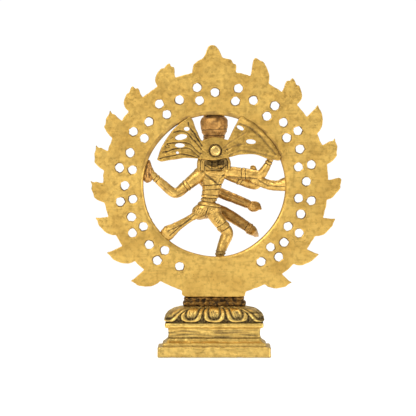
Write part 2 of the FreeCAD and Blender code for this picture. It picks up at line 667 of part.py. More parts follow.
# The hair fan's outline from the middle of its lower edge, round the dancer's left wing and back by the right.
FAN_LOWER_LEFT = [(-0.2, 15.4), (5.6, 15.8), (11.0, 16.6)]
FAN_TIP_LEFT = [(22.0, 16.2), (32.4, 14.6), (34.9, 15.8)]
FAN_EDGE_LEFT = (26.8, 32.0)
FAN_TOP_LEFT = [(15.6, 41.9), (14.8, 42.2), (13.2, 40.2)]
FAN_BRIDGE = [(7.7, 27.4), (-8.4, 27.8)]
FAN_TOP_RIGHT = [(-15.0, 40.8), (-16.2, 42.0), (-18.2, 41.8)]
FAN_EDGE_RIGHT = (-31.2, 31.0)
FAN_TIP_RIGHT = [(-40.4, 18.0), (-40.2, 15.6), (-38.4, 15.2)]
FAN_LOWER_RIGHT = [(-31.9, 16.6), (-21.4, 19.2), (-10.0, 17.4)]


def fan_point(x, z):
    """A point of the hair fan's outline in its sketch, which is centred on the rivet."""
    grow = value(FIGURE_SCALE)
    return Vector((x - FAN_HUB[0]) * grow, (z - FAN_HUB[1]) * grow, 0)


def fan_edges():
    """The fan's outline: arcs along the lower edges, straight runs along the wings' long sides."""
    lower_left, tip_left = [fan_point(*p) for p in FAN_LOWER_LEFT], [fan_point(*p) for p in FAN_TIP_LEFT]
    top_left, bridge = [fan_point(*p) for p in FAN_TOP_LEFT], [fan_point(*p) for p in FAN_BRIDGE]
    top_right, tip_right = [fan_point(*p) for p in FAN_TOP_RIGHT], [fan_point(*p) for p in FAN_TIP_RIGHT]
    lower_right = [fan_point(*p) for p in FAN_LOWER_RIGHT]
    return [
        Part.Arc(*lower_left),
        Part.Arc(lower_left[-1], tip_left[0], tip_left[1]),
        Part.LineSegment(tip_left[1], tip_left[2]),
        Part.Arc(tip_left[2], fan_point(*FAN_EDGE_LEFT), top_left[0]),
        Part.Arc(*top_left),
        Part.LineSegment(top_left[2], bridge[0]),
        Part.LineSegment(bridge[0], bridge[1]),
        Part.LineSegment(bridge[1], top_right[0]),
        Part.Arc(*top_right),
        Part.Arc(top_right[2], fan_point(*FAN_EDGE_RIGHT), tip_right[0]),
        Part.Arc(*tip_right),
        Part.LineSegment(tip_right[2], lower_right[0]),
        Part.Arc(*lower_right),
        Part.LineSegment(lower_right[2], lower_left[0]),
    ]


# Pierced gaps between the locks of hair: x, z of the middle, half length, half width, tilt in degrees.
FAN_GAPS = [
    (16.8, 34.5, 1.5, 1.0, 0),
    (19.6, 30.0, 3.8, 1.1, -12),
    (20.9, 24.5, 3.0, 0.9, 0),
    (22.4, 20.1, 0.9, 0.6, 0),
    (-15.9, 35.2, 2.2, 0.8, 28),
    (-22.4, 26.8, 2.8, 1.0, 6),
]
fan_body = new_body("fan_body")
FAN_X = f"{FAN_HUB[0]} * {FIGURE_SCALE}"
FAN_Z = f"{OPENING_Z} + {FAN_HUB[1]} * {FIGURE_SCALE}"
# The fan lies in the bevelled back edge of the opening, and the tips of its wings lap the ring.
FAN_BACK = "Dims.ring_back + Dims.fan_lap"


def fan_sketch(body, name, offset):
    return plane_sketch(body, name, "XZ_Plane", offset=f"-({offset})", shift_x=FAN_X, shift_y=FAN_Z)


wing_sketch = fan_sketch(fan_body, "WingOutline", FAN_BACK)
closed_outline(wing_sketch, fan_edges())
pad(fan_body, "Wings", wing_sketch, "Dims.fan_thickness")
hub_sketch = fan_sketch(fan_body, "HubOutline", f"{FAN_BACK} - Dims.fan_thickness / 2")
circle_at(hub_sketch, 0, 0, "Dims.fan_hub_diameter", "hub")
pad(fan_body, "Hub", hub_sketch, "Dims.ring_back")
gap_sketch = fan_sketch(fan_body, "GapOutlines", f"{FAN_BACK} + 1")
for x, z, half_length, half_width, tilt in FAN_GAPS:
    middle, grow = fan_point(x, z), value(FIGURE_SCALE)
    along = Vector(math.cos(math.radians(tilt)), math.sin(math.radians(tilt)), 0)
    across = Vector(-along.y, along.x, 0) * (half_width * grow)
    reach, straight = along * (half_length * grow), along * ((half_length - half_width) * grow)
    gap_edges = [
        Part.LineSegment(middle - straight + across, middle + straight + across),
        Part.Arc(middle + straight + across, middle + reach, middle + straight - across),
        Part.LineSegment(middle + straight - across, middle - straight - across),
        Part.Arc(middle - straight - across, middle - reach, middle - straight + across),
    ]
    closed_outline(gap_sketch, gap_edges)
pocket(fan_body, "Gaps", gap_sketch, "Dims.fan_thickness + 2", reverse=True)
shank_way = fan_sketch(fan_body, "ShankWay", f"{FAN_BACK} + 1")
circle_at(shank_way, 0, 0, "Dims.rivet_shank_diameter", "way")
pocket(fan_body, "ShankHole", shank_way, "Dims.fan_thickness + Dims.ring_back + 2", reverse=True)

hair_rivet = new_body("hair_rivet")
rivet_head_sketch = fan_sketch(hair_rivet, "RivetHead", f"{FAN_BACK} + Dims.rivet_head_height")
circle_at(rivet_head_sketch, 0, 0, "Dims.rivet_head_diameter", "head")
rivet_head = pad(hair_rivet, "Head", rivet_head_sketch, "Dims.rivet_head_height")
rivet_shank_sketch = fan_sketch(hair_rivet, "RivetShank", FAN_BACK)
circle_at(rivet_shank_sketch, 0, 0, "Dims.rivet_shank_diameter", "shank")
rivet_shank = pad(hair_rivet, "Shank", rivet_shank_sketch, "Dims.rivet_depth")
doc.recompute()
rim_edges = [
    f"Edge{i}"
    for i, e in enumerate(rivet_shank.Shape.Edges, start=1)
    if e.BoundBox.YMin > value(f"{FAN_BACK} + Dims.rivet_head_height") - TINY
]
rivet_rounding = hair_rivet.newObject("PartDesign::Fillet", "HeadRounding")
rivet_rounding.Base = (rivet_shank, rim_edges)
rivet_rounding.setExpression("Radius", "Dims.rivet_rounding")

head_solids = [limb(name, stations) for name, stations in HEAD_PARTS.items()]
arms = [rear_left_arm, rear_right_arm, front_left_arm, front_right_arm]
head = fitted("head", fused("head_all", head_solids), [torso, *arms, hair_rivet])
hair_fan = fitted("hair_fan", fan_body, [head, flame_ring])

# The crown is a turned pot shape: height above the opening's centre, radius.
CROWN_PROFILE = [
    (27.0, 6.1),
    (29.6, 6.2),
    (33.4, 7.7),
    (36.6, 8.3),
    (39.6, 7.9),
    (42.4, 6.7),
    (46.0, 4.4),
    (49.0, 2.2),
]
CROWN_TIP = 50.2
CROWN_AXIS = (0.1, -2.2)
crown_body = new_body("crown_body")
crown_sketch = plane_sketch(
    crown_body,
    "CrownProfile",
    "XZ_Plane",
    offset=f"{-CROWN_AXIS[1]} * {FIGURE_SCALE}",
    shift_x=f"{CROWN_AXIS[0]} * {FIGURE_SCALE}",
    shift_y=OPENING_Z,
)
grow = value(FIGURE_SCALE)
crown_points = [Vector(radius * grow, height * grow, 0) for height, radius in CROWN_PROFILE]
crown_curve = Part.BSplineCurve()
crown_curve.interpolate(crown_points)
crown_top, crown_bottom = Vector(0, CROWN_TIP * grow, 0), Vector(0, crown_points[0].y, 0)
closed_outline(
    crown_sketch,
    [
        crown_curve,
        Part.LineSegment(crown_points[-1], crown_top),
        Part.LineSegment(crown_top, crown_bottom),
        Part.LineSegment(crown_bottom, crown_points[0]),
    ],
)
revolve(crown_body, "Crown", crown_sketch)
crown = fitted("crown", crown_body, [head, flame_ring, hair_fan])

# ---------------------------------------------------------------- what the rear hands hold

drum_body = new_body("drum_body")
DRUM = (-36.4, 2.2, 21.6)
drum_sketch = plane_sketch(
    drum_body,
    "DrumProfile",
    "XZ_Plane",
    offset=f"{-DRUM[1]} * {FIGURE_SCALE}",
    shift_x=f"{DRUM[0]} * {FIGURE_SCALE}",
    shift_y=f"{OPENING_Z} + {DRUM[2]} * {FIGURE_SCALE}",
)
drum_half, drum_rim, drum_waist = 2.9 * grow, 2.5 * grow, 1.2 * grow
rim_up, rim_down = Vector(drum_rim, drum_half, 0), Vector(drum_rim, -drum_half, 0)
closed_outline(
    drum_sketch,
    [
        Part.Arc(rim_down, Vector(drum_waist, 0, 0), rim_up),
        Part.LineSegment(rim_up, Vector(0, drum_half, 0)),
        Part.LineSegment(Vector(0, drum_half, 0), Vector(0, -drum_half, 0)),
        Part.LineSegment(Vector(0, -drum_half, 0), rim_down),
    ],
)
revolve(drum_body, "Drum", drum_sketch)
drum = fitted("drum", drum_body, [rear_right_arm, flame_ring, hair_fan])

PALM_FLAME = [(40.9, 4.0, 4.8, 2.6), (40.5, 4.2, 10.2, 2.2), (39.7, 4.5, 14.8, 1.1)]
palm_flame = fitted("palm_flame", limb("palm_flame", PALM_FLAME), [rear_left_arm, flame_ring])

# ---------------------------------------------------------------- dwarf under the standing foot

# Places on the dwarf: x and y from the frame's origin, z from the top of the neck block.
DWARF_Y = f"({BLOCK_BACK} + {BLOCK_FRONT}) / 2"


def on_dwarf(x, y, z):
    return Vector(x, value(DWARF_Y) + y, value(NECK_TOP) + z)


def dwarf_limb(name, start, end, rise):
    """A round-ended mass of the dwarf between two places (x, y, z, radius)."""
    solids = []
    low, high = (on_dwarf(x, y, z * rise) for x, y, z, radius in (start, end))
    for k, (place, station) in enumerate(((low, start), (high, end))):
        end_ball = doc.addObject("Part::Sphere", f"{name}_end{k}")
        end_ball.Radius = 1.04 * station[3] * rise
        end_ball.Placement = Placement(place, Rotation(Vector(0, 0, 1), high - low))
        solids.append(end_ball)
    bar = doc.addObject("Part::Cone", f"{name}_bar")
    bar.Radius1, bar.Radius2, bar.Height = start[3] * rise, end[3] * rise, (high - low).Length
    bar.Placement = Placement(low, Rotation(Vector(0, 0, 1), high - low))
    return fused(name, [*solids, bar])


# The dwarf is drawn at this height, lying across the neck block with its head to the dancer's right.
DRAWN_DWARF_HEIGHT = 14.0
dwarf_rise = value("Dims.dwarf_height") / DRAWN_DWARF_HEIGHT
DWARF_PARTS = {
    "dwarf_trunk": ((-6.0, 0.0, 8.0, 6.4), (8.0, 0.0, 7.0, 5.8)),
    "dwarf_head": ((-11.4, -0.8, 9.6, 3.8), (-13.6, -1.2, 9.8, 4.2)),
    "dwarf_leg": ((9.4, -2.4, 5.0, 3.8), (14.0, -1.8, 2.4, 2.8)),
    "dwarf_arm": ((-7.0, -4.4, 5.6, 2.6), (-12.4, -4.2, 1.6, 2.3)),
}
dwarf_solids = [dwarf_limb(name, *ends, dwarf_rise) for name, ends in DWARF_PARTS.items()]
dwarf_room = doc.addObject("Part::Box", "dwarf_room")
dwarf_room.Length, dwarf_room.Width, dwarf_room.Height = 80, 60, 60
dwarf_room.Placement = Placement(Vector(-40, -30, value(NECK_TOP)), Rotation())
dwarf_whole = doc.addObject("Part::MultiCommon", "dwarf_whole")
dwarf_whole.Shapes = [fused("dwarf_mass", dwarf_solids), dwarf_room]
dwarf = fitted("dwarf", dwarf_whole, [standing_leg, flame_ring])

# ---------------------------------------------------------------- checks and export

doc.recompute()
NODES = {
    "pedestal": pedestal,
    "neck_block": neck_block,
    "fixing_screw": fixing_screw,
    "fixing_washer": fixing_washer,
    "flame_ring": flame_ring,
    "torso": torso,
    "standing_leg": standing_leg,
    "raised_leg": raised_leg,
    "rear_left_arm": rear_left_arm,
    "rear_right_arm": rear_right_arm,
    "front_left_arm": front_left_arm,
    "front_right_arm": front_right_arm,
    "hip_sash": hip_sash,
    "elbow_tie": elbow_tie,
    "head": head,
    "crown": crown,
    "hair_fan": hair_fan,
    "hair_rivet": hair_rivet,
    "drum": drum,
    "palm_flame": palm_flame,
    "dwarf": dwarf,
}

for feature in doc.Objects:
    if any(flag in feature.State for flag in ("Invalid", "Error")):
        raise RuntimeError(f"{feature.Label} failed to build: {feature.State}")
for label, feature in NODES.items():
    if feature.Shape.isNull() or not feature.Shape.isValid():
        raise RuntimeError(f"{label} has no valid shape")
    if len(feature.Shape.Solids) != 1:
        raise RuntimeError(f"{label} came out as {len(feature.Shape.Solids)} solids")
for label, feature in NODES.items():
    feature.Shape.exportStep(f"parts/{label}.step")
    box = feature.Shape.BoundBox
    print(f"{label:16s} volume {feature.Shape.Volume:9.1f}  x {box.XMin:7.1f} {box.XMax:7.1f}"
          f"  y {box.YMin:6.1f} {box.YMax:6.1f}  z {box.ZMin:6.1f} {box.ZMax:6.1f}")
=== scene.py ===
import math

import bpy
import numpy as np
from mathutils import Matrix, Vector, noise
from mathutils.geometry import tessellate_polygon


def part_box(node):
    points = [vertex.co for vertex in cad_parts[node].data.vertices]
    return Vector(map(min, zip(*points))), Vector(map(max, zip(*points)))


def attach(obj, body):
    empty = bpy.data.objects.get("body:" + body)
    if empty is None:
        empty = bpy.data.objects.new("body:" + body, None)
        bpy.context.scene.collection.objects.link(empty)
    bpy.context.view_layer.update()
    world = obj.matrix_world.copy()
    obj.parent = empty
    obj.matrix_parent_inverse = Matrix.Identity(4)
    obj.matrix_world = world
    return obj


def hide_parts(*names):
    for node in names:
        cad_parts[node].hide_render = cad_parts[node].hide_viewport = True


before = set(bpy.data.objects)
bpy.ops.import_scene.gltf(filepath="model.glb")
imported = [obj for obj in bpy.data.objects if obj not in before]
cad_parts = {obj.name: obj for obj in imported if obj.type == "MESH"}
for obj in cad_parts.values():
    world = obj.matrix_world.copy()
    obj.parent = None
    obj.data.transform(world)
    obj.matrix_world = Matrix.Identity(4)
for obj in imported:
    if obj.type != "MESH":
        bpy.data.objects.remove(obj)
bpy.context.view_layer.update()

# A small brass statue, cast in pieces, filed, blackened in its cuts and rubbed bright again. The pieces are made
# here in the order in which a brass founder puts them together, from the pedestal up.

# ------------------------------------------------------------------------------------------------ camera
# The statue stands with its plain back to the camera, which is level with the dancer's chest. The lens is
# long, so that the ring stays round and the pedestal shows hardly any of its top.

MM = 0.001
CAMERA_PLACE = Vector((-4.5, 2408.0, 134.7)) * MM
CAMERA_AIM = Vector((3.8, 8.0, 90.4)) * MM

camera_data = bpy.data.cameras.new("camera")
camera_data.sensor_width = 36.0
camera_data.lens = 341.0
camera = bpy.data.objects.new("camera", camera_data)
camera.location = CAMERA_PLACE
camera.rotation_euler = (CAMERA_AIM - CAMERA_PLACE).to_track_quat("-Z", "Y").to_euler()
bpy.context.scene.collection.objects.link(camera)
bpy.context.scene.camera = camera

# ------------------------------------------------------------------------------------------------ pedestal
# A hollow brass casting: a bevelled slab, a hollow moulding, a waist, a rounded rim and a lotus cushion whose
# hanging petals are chased with a punch. It was cast upside down, and its cuts were left black.


def tint(red, green, blue):
    """A colour in screen values of 0 to 255, as the linear colour that a shader takes."""
    return tuple(((level / 255 + 0.055) / 1.055) ** 2.4 for level in (red, green, blue)) + (1.0,)


def brass(name, bright, dull, black, blotch=9.0, worn=0.5, shine=0.3, marks=0.22, pitted=0.0, crevice=0.7,
          edge_wear_and_highlight=0.6, cracked=0.0):
    """Old brass, sized in millimetres. Black fills the cuts, and dull tarnish lies over the bright in patches.
    Crevices are darkened by occlusion, as painted shade and as old black in the hollows, and sharp edges are
    painted brighter, as wear and as a painted highlight.
    """
    material = bpy.data.materials.new(name)
    material.use_nodes = True
    nodes, links = material.node_tree.nodes, material.node_tree.links
    shader = nodes["Principled BSDF"]
    where = nodes.new("ShaderNodeTexCoord").outputs["Object"]

    def plug(socket, source):
        if hasattr(source, "is_output"):
            links.new(source, socket)
        else:
            socket.default_value = source

    def clouds(size, detail=3.0, stretch=(1.0, 1.0, 1.0), turn=0.0):
        place = nodes.new("ShaderNodeMapping")
        place.inputs["Rotation"].default_value = (0.0, turn, 0.0)
        place.inputs["Scale"].default_value = [share / (size * MM) for share in stretch]
        links.new(where, place.inputs["Vector"])
        texture = nodes.new("ShaderNodeTexNoise")
        texture.inputs["Scale"].default_value = 1.0
        texture.inputs["Detail"].default_value = detail
        links.new(place.outputs["Vector"], texture.inputs["Vector"])
        return texture.outputs["Fac"]

    def between(source, low, high, start=0.0, end=1.0):
        node = nodes.new("ShaderNodeMapRange")
        node.interpolation_type = "SMOOTHSTEP"
        plug(node.inputs["Value"], source)
        for socket, number in zip(("From Min", "From Max", "To Min", "To Max"), (low, high, start, end)):
            node.inputs[socket].default_value = number
        return node.outputs["Result"]

    def sums(operation, first, second):
        node = nodes.new("ShaderNodeMath")
        node.operation = operation
        plug(node.inputs[0], first)
        plug(node.inputs[1], second)
        return node.outputs["Value"]

    def layer(share, under, over):
        node = nodes.new("ShaderNodeMix")
        node.data_type = "RGBA"
        plug(node.inputs[0], share)
        plug(node.inputs[6], under)
        plug(node.inputs[7], over)
        return node.outputs[2]

    cuts = nodes.new("ShaderNodeAttribute")
    cuts.attribute_name = "soot_and_shade"
    # Crevices found by occlusion are darkened towards the black: painted shade, and also the black that old brass
    # keeps in its hollows.
    shelter = nodes.new("ShaderNodeAmbientOcclusion")
    shelter.samples = 6
    shelter.inputs["Distance"].default_value = 3.0 * MM
    sheltered = between(shelter.outputs["AO"], 0.25, 0.85, crevice, 0.0)
    soot_and_crevice_shade = sums("MINIMUM", sums("ADD", cuts.outputs["Fac"], sheltered), 1.0)
    soot_and_crevice_shade = sums("MULTIPLY", soot_and_crevice_shade, between(clouds(1.1), 0.2, 0.62, 0.72, 1.0))

    tarnish = sums("MULTIPLY", between(clouds(blotch, 4.0), 0.38, 0.7), worn)
    mottle = between(clouds(2.6, 6.0), 0.44, 0.68, 0.0, 0.85 * worn)
    spots = between(clouds(1.5, 2.0), 0.67, 0.76, 0.0, 0.55)
    hairlines = between(clouds(1.1, 2.0, (0.1, 1.0, 1.0), 0.5), 0.58, 0.7, 0.0, marks)
    rubbed = between(clouds(1.2, 2.0, (0.06, 1.0, 1.0), -0.25), 0.58, 0.72, 0.0, marks)
    colour = layer(tarnish, tint(*bright), tint(*dull))
    colour = layer(mottle, colour, tint(*[0.86 * level for level in dull]))
    colour = layer(hairlines, colour, tint(*[0.8 * level for level in dull]))
    colour = layer(rubbed, colour, tint(*[min(255, 1.1 * level) for level in bright]))
    # Sharp edges are painted brighter: rubbed wear, and a painted highlight along them.
    if edge_wear_and_highlight:
        sharp = nodes.new("ShaderNodeNewGeometry").outputs["Pointiness"]
        brighter = tint(*[min(255, 1.16 * level) for level in bright])
        colour = layer(between(sharp, 0.51, 0.58, 0.0, edge_wear_and_highlight), colour, brighter)
    if cracked:
        wavy = nodes.new("ShaderNodeVectorMath")
        wavy.operation = "MULTIPLY_ADD"
        links.new(where, wavy.inputs[0])
        wavy.inputs[1].default_value = (90.0, 90.0, 90.0)
        waver = nodes.new("ShaderNodeTexNoise")
        waver.inputs["Scale"].default_value = 240.0
        links.new(where, waver.inputs["Vector"])
        links.new(waver.outputs["Color"], wavy.inputs[2])
        cells = nodes.new("ShaderNodeTexVoronoi")
        cells.feature = "DISTANCE_TO_EDGE"
        cells.inputs["Scale"].default_value = 1.0
        links.new(wavy.outputs["Vector"], cells.inputs["Vector"])
        thin = between(cells.outputs["Distance"], 0.008, 0.034, 1.0, 0.0)
        crack = sums("MULTIPLY", thin, between(clouds(19.0, 3.0), 0.56, 0.66))
        colour = layer(sums("MULTIPLY", crack, cracked), colour, tint(*black))
    colour = layer(spots, colour, tint(*[0.62 * level for level in dull]))
    colour = layer(soot_and_crevice_shade, colour, tint(*black))
    links.new(colour, shader.inputs["Base Color"])

    links.new(between(soot_and_crevice_shade, 0.15, 0.9, 1.0, 0.0), shader.inputs["Metallic"])
    links.new(between(soot_and_crevice_shade, 0.3, 0.9, 0.5, 0.12), shader.inputs["Specular IOR Level"])
    gloss = between(clouds(3.0, 4.0), 0.3, 0.7, shine, shine + 0.16)
    links.new(sums("ADD", gloss, sums("MULTIPLY", soot_and_crevice_shade, 0.3)), shader.inputs["Roughness"])

    grain = sums("MULTIPLY", clouds(0.35, 3.0), 0.35)
    waves = sums("MULTIPLY", clouds(2.6, 2.0), 0.9)
    height = sums("ADD", sums("ADD", grain, waves), sums("MULTIPLY", hairlines, -0.2))
    if pitted:
        pits = between(clouds(0.9, 4.0), 0.2, 0.6, -pitted, 0.0)
        height = sums("ADD", height, pits)
    bump = nodes.new("ShaderNodeBump")
    bump.inputs["Strength"].default_value = 0.55
    bump.inputs["Distance"].default_value = 0.1 * MM
    links.new(height, bump.inputs["Height"])
    links.new(bump.outputs["Normal"], shader.inputs["Normal"])
    return material


class Casting:
    """A raw casting under the file and the punch: its surface, which way it faces, and the soot in its cuts
    together with any painted shade.
    """

    def __init__(self, points, faces):
        self.mesh = bpy.data.meshes.new("casting")
        self.mesh.from_pydata([tuple(p) for p in points], [], faces)
        self.mesh.validate()
        self.measure()
        self.soot_and_shade = np.zeros(len(self.points))

    def measure(self):
        count = len(self.mesh.vertices)
        self.points, self.facing = np.empty(count * 3), np.empty(count * 3)
        self.mesh.vertices.foreach_get("co", self.points)
        self.mesh.vertices.foreach_get("normal", self.facing)
        self.points, self.facing = self.points.reshape(-1, 3), self.facing.reshape(-1, 3)

    def settle(self):
        """Writes the worked surface back, so that the next cut follows it."""
        self.mesh.vertices.foreach_set("co", self.points.ravel())
        self.mesh.update()
        self.measure()

    def raise_by(self, height, soot_and_shade=None):
        """Lifts the surface by a height for each point, in millimetres, and adds to the soot and painted shade
        there.
        """
        self.points += self.facing * (height * MM)[:, None]
        if soot_and_shade is not None:
            self.soot_and_shade = np.clip(self.soot_and_shade + soot_and_shade, 0.0, 1.0)

    def melt(self, cell, smoothing=4):
        """Runs overlapping shapes together into one skin, as wax does, with a cell size in millimetres."""
        wax = bpy.data.objects.new("wax", self.mesh)
        bpy.context.scene.collection.objects.link(wax)
        skin = wax.modifiers.new("skin", "REMESH")
        skin.mode = "VOXEL"
        skin.voxel_size = cell * MM
        softened = wax.modifiers.new("softened", "SMOOTH")
        softened.iterations = smoothing
        self.mesh = bpy.data.meshes.new_from_object(wax.evaluated_get(bpy.context.evaluated_depsgraph_get()))
        bpy.data.objects.remove(wax)
        self.measure()
        self.soot_and_shade = np.zeros(len(self.points))
        return self

    def roughen(self, size, depth, soot_and_shade=0.0):
        """Leaves the skin of a sand casting: bumps of a size and depth in millimetres."""
        bumps = np.array([noise.fractal(p / (size * MM), 0.8, 2.0, 3) for p in map(Vector, self.points)])
        self.raise_by(bumps * depth, np.clip(-bumps * soot_and_shade, 0.0, 1.0) if soot_and_shade else None)

    def engrave(self, strokes, width, depth, soot_and_shade=1.0, towards=(0, 1, 0)):
        """Cuts strokes of (x, z) in millimetres into the faces that look one way. A negative depth raises them."""
        seen = np.clip(self.facing @ np.array(towards, float) * 2.5 - 0.4, 0.0, 1.0)
        flat = self.points[:, [0, 2]] / MM
        nearest = np.full(len(flat), 1e9)
        for stroke in strokes:
            for start, end in zip(stroke, stroke[1:]):
                start, along = np.array(start, float), np.subtract(end, start)
                share = np.clip((flat - start) @ along / (along @ along), 0.0, 1.0)
                nearest = np.minimum(nearest, np.linalg.norm(flat - start - share[:, None] * along, axis=1))
        cut = np.exp(-((nearest / (width / 2)) ** 2)) * seen
        self.raise_by(-depth * cut, soot_and_shade * cut)

    def band(self, middle, axis, reach, width, height, soot_and_shade=0.0, beads=0):
        """A ring round a limb, raised or cut. Beads split a raised ring into a string of that many pearls."""
        axis = np.array(axis, float) / np.linalg.norm(axis)
        away = self.points / MM - np.array(middle, float)
        along = away @ axis
        across = away - along[:, None] * axis
        near = np.linalg.norm(across, axis=1) < reach
        ring = np.exp(-((along / (width / 2)) ** 4)) * near
        if beads:
            side = np.cross(axis, (0.0, 1.0, 0.001))
            side /= np.linalg.norm(side)
            turn = np.arctan2(across @ np.cross(axis, side), across @ side)
            pearl = np.abs(np.cos(turn * beads / 2))
            self.raise_by(ring * height * pearl, ring * soot_and_shade * (1 - pearl))
        else:
            self.raise_by(ring * height, ring * soot_and_shade)

    def piece(self, name, material):
        """The finished piece, in the scene."""
        self.settle()
        layer = self.mesh.attributes.new("soot_and_shade", "FLOAT", "POINT")
        layer.data.foreach_set("value", self.soot_and_shade.astype(np.float32))
        self.mesh.polygons.foreach_set("use_smooth", [len(face.vertices) <= 4 for face in self.mesh.polygons])
        self.mesh.name = name
        self.mesh.materials.append(material)
        made = bpy.data.objects.new(name, self.mesh)
        bpy.context.scene.collection.objects.link(made)
        return made


def flowing(points, spacing):
    """A smooth line through given points of any number of sizes, sampled about every spacing."""
    points = [np.array(p, float) for p in points]
    if len(points) == 2:
        steps = max(1, round(np.abs(points[1] - points[0]).max() / spacing))
        return [points[0] + (points[1] - points[0]) * k / steps for k in range(steps + 1)]
    ends = [2 * points[0] - points[1]] + points + [2 * points[-1] - points[-2]]
    line = []
    for before, here, there, after in zip(ends, ends[1:], ends[2:], ends[3:]):
        steps = max(1, round(np.linalg.norm(there - here) / spacing))
        for share in (k / steps for k in range(steps)):
            slope_in, slope_out = (there - before) / 2, (after - here) / 2
            line.append(
                here
                + slope_in * share
                + (3 * (there - here) - 2 * slope_in - slope_out) * share**2
                + (2 * (here - there) + slope_in + slope_out) * share**3
            )
    return line + [points[-1]]


def tier_plan(long_steps, short_steps, corner_steps):
    """The plan of every tier: which corner of the box a point hangs from, and the way it faces from there."""
    hangs, faces_out = [], []
    corners = [(1, 1), (-1, 1), (-1, -1), (1, -1)]
    for quarter, corner in enumerate(corners):
        for step in range(corner_steps):
            turn = (quarter + step / corner_steps) * math.pi / 2
            hangs.append(corner)
            faces_out.append((math.cos(turn), math.sin(turn)))
        following = corners[(quarter + 1) % 4]
        steps = short_steps if quarter % 2 else long_steps
        turn = (quarter + 1) * math.pi / 2
        for share in (k / steps for k in range(steps)):
            hangs.append([a + (b - a) * share for a, b in zip(corner, following)])
            faces_out.append((math.cos(turn), math.sin(turn)))
    return np.array(hangs, float), np.array(faces_out, float)


def stack_tiers(tiers, plan, middle_y=0.0):
    """A casting from its profile: tiers of (half width, half depth, corner, height), closed at both ends."""
    hangs, faces_out = plan
    points, count = [], len(hangs)
    for half_width, half_depth, corner, height in tiers:
        flat = hangs * (half_width - corner, half_depth - corner) + corner * faces_out
        points += [(x * MM, (y + middle_y) * MM, height * MM) for x, y in flat]
    faces = []
    for tier in range(len(tiers) - 1):
        for k in range(count):
            following = (k + 1) % count
            here, there = tier * count, (tier + 1) * count
            faces.append((here + k, there + k, there + following, here + following))
    faces.append(tuple(range(count)))
    faces.append(tuple((len(tiers) - 1) * count + k for k in reversed(range(count))))
    return Casting(points, faces)


pedestal_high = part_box("pedestal")[1]
SLAB_HALF_WIDTH = pedestal_high.x / MM
SLAB_HALF_DEPTH = pedestal_high.y / MM
LOTUS_TOP = pedestal_high.z / MM
LOTUS_FOOT = 20.9
# The profile from the lotus's top, down the outside and up inside the hollow: inset, height, corner radius. Each
# run is a smooth curve that starts where the run before it ended.
PEDESTAL_START = (23.9, LOTUS_TOP, 1.0)
PEDESTAL_RUNS = [
    [(14.9, LOTUS_TOP, 7.0)],
    [(9.8, 29.0, 7.0), (6.9, 27.3, 7.0), (5.1, 25.6, 7.0),
     (4.2, 24.0, 7.0), (3.9, 22.4, 7.0), (4.6, LOTUS_FOOT, 7.0)],
    [(5.1, 20.8, 1.6)],
    [(4.5, 20.2, 1.6), (4.4, 19.3, 1.6), (4.5, 18.3, 1.6), (5.1, 17.8, 1.6)],
    [(6.3, 17.6, 1.6)],
    [(6.6, 14.6, 1.6), (6.4, 12.1, 1.6)],
    [(6.9, 11.7, 1.6)],
    [(6.1, 11.3, 1.6)],
    [(5.6, 10.2, 1.6), (4.6, 9.2, 1.6), (3.3, 8.4, 1.6)],
    [(2.9, 8.0, 1.6)],
    [(2.9, 6.8, 1.6)],
    [(2.7, 6.4, 1.6)],
    [(0.8, 6.3, 1.6)],
    [(0.3, 6.1, 1.6), (0.0, 5.5, 1.6)],
    [(0.0, 0.5, 1.6)],
    [(0.4, 0.0, 1.6)],
    [(9.6, 0.0, 1.6)],
    [(10.0, 0.5, 1.6)],
    [(10.0, 25.0, 1.6)],
    [(10.3, 25.3, 1.6)],
    [(20.0, 25.3, 1.6)],
]
# The runs after these lie under the foot and in the hollow, where coarser tiers do.
OUTER_RUNS = 16
OUTER_SPACING, HIDDEN_SPACING = 0.4, 1.5
pedestal_plan = tier_plan(100, 68, 14)
pedestal_tiers, is_lotus = [], []
run_start = PEDESTAL_START
for number, run in enumerate(PEDESTAL_RUNS):
    run_points = flowing([run_start] + run, OUTER_SPACING if number < OUTER_RUNS else HIDDEN_SPACING)
    run_start = run[-1]
    for inset, height, corner in run_points[1 if number else 0:]:
        pedestal_tiers.append((SLAB_HALF_WIDTH - inset, SLAB_HALF_DEPTH - inset, corner, height))
        is_lotus.append(number == 1)
pedestal = stack_tiers(pedestal_tiers, pedestal_plan)
tier_size = len(pedestal_plan[0])

# The petals are set out round the cushion's belly, by the distance walked from the first corner.
PETAL_PITCH = 14.2
SIDE_PETAL = 6.9
BELLY_INSET, BELLY_CORNER = 3.9, 7.0
belly_reach = np.array((SLAB_HALF_WIDTH, SLAB_HALF_DEPTH)) - BELLY_INSET - BELLY_CORNER
belly = pedestal_plan[0] * belly_reach + BELLY_CORNER * pedestal_plan[1]
paces = np.linalg.norm(np.roll(belly, -1, axis=0) - belly, axis=1)
walked = np.concatenate([[0.0], np.cumsum(paces)[:-1]])
corner_walk = BELLY_CORNER * math.pi / 2
long_walk, short_walk = 2 * belly_reach
petal_middles = []
start = 0.0
side_petals = ((long_walk, (-PETAL_PITCH, 0, PETAL_PITCH)), (short_walk, (-SIDE_PETAL, SIDE_PETAL)))
for side_walk, offsets in side_petals * 2:
    petal_middles.append(start + corner_walk / 2)
    petal_middles += [start + corner_walk + side_walk / 2 + offset for offset in offsets]
    start += corner_walk + side_walk
from_petals = walked[:, None] - np.array(petal_middles)[None, :]
from_petals -= paces.sum() * np.round(from_petals / paces.sum())
nearest_petal = np.argmin(np.abs(from_petals), axis=1)
walked_aside = np.tile(from_petals[np.arange(tier_size), nearest_petal], len(pedestal_tiers))
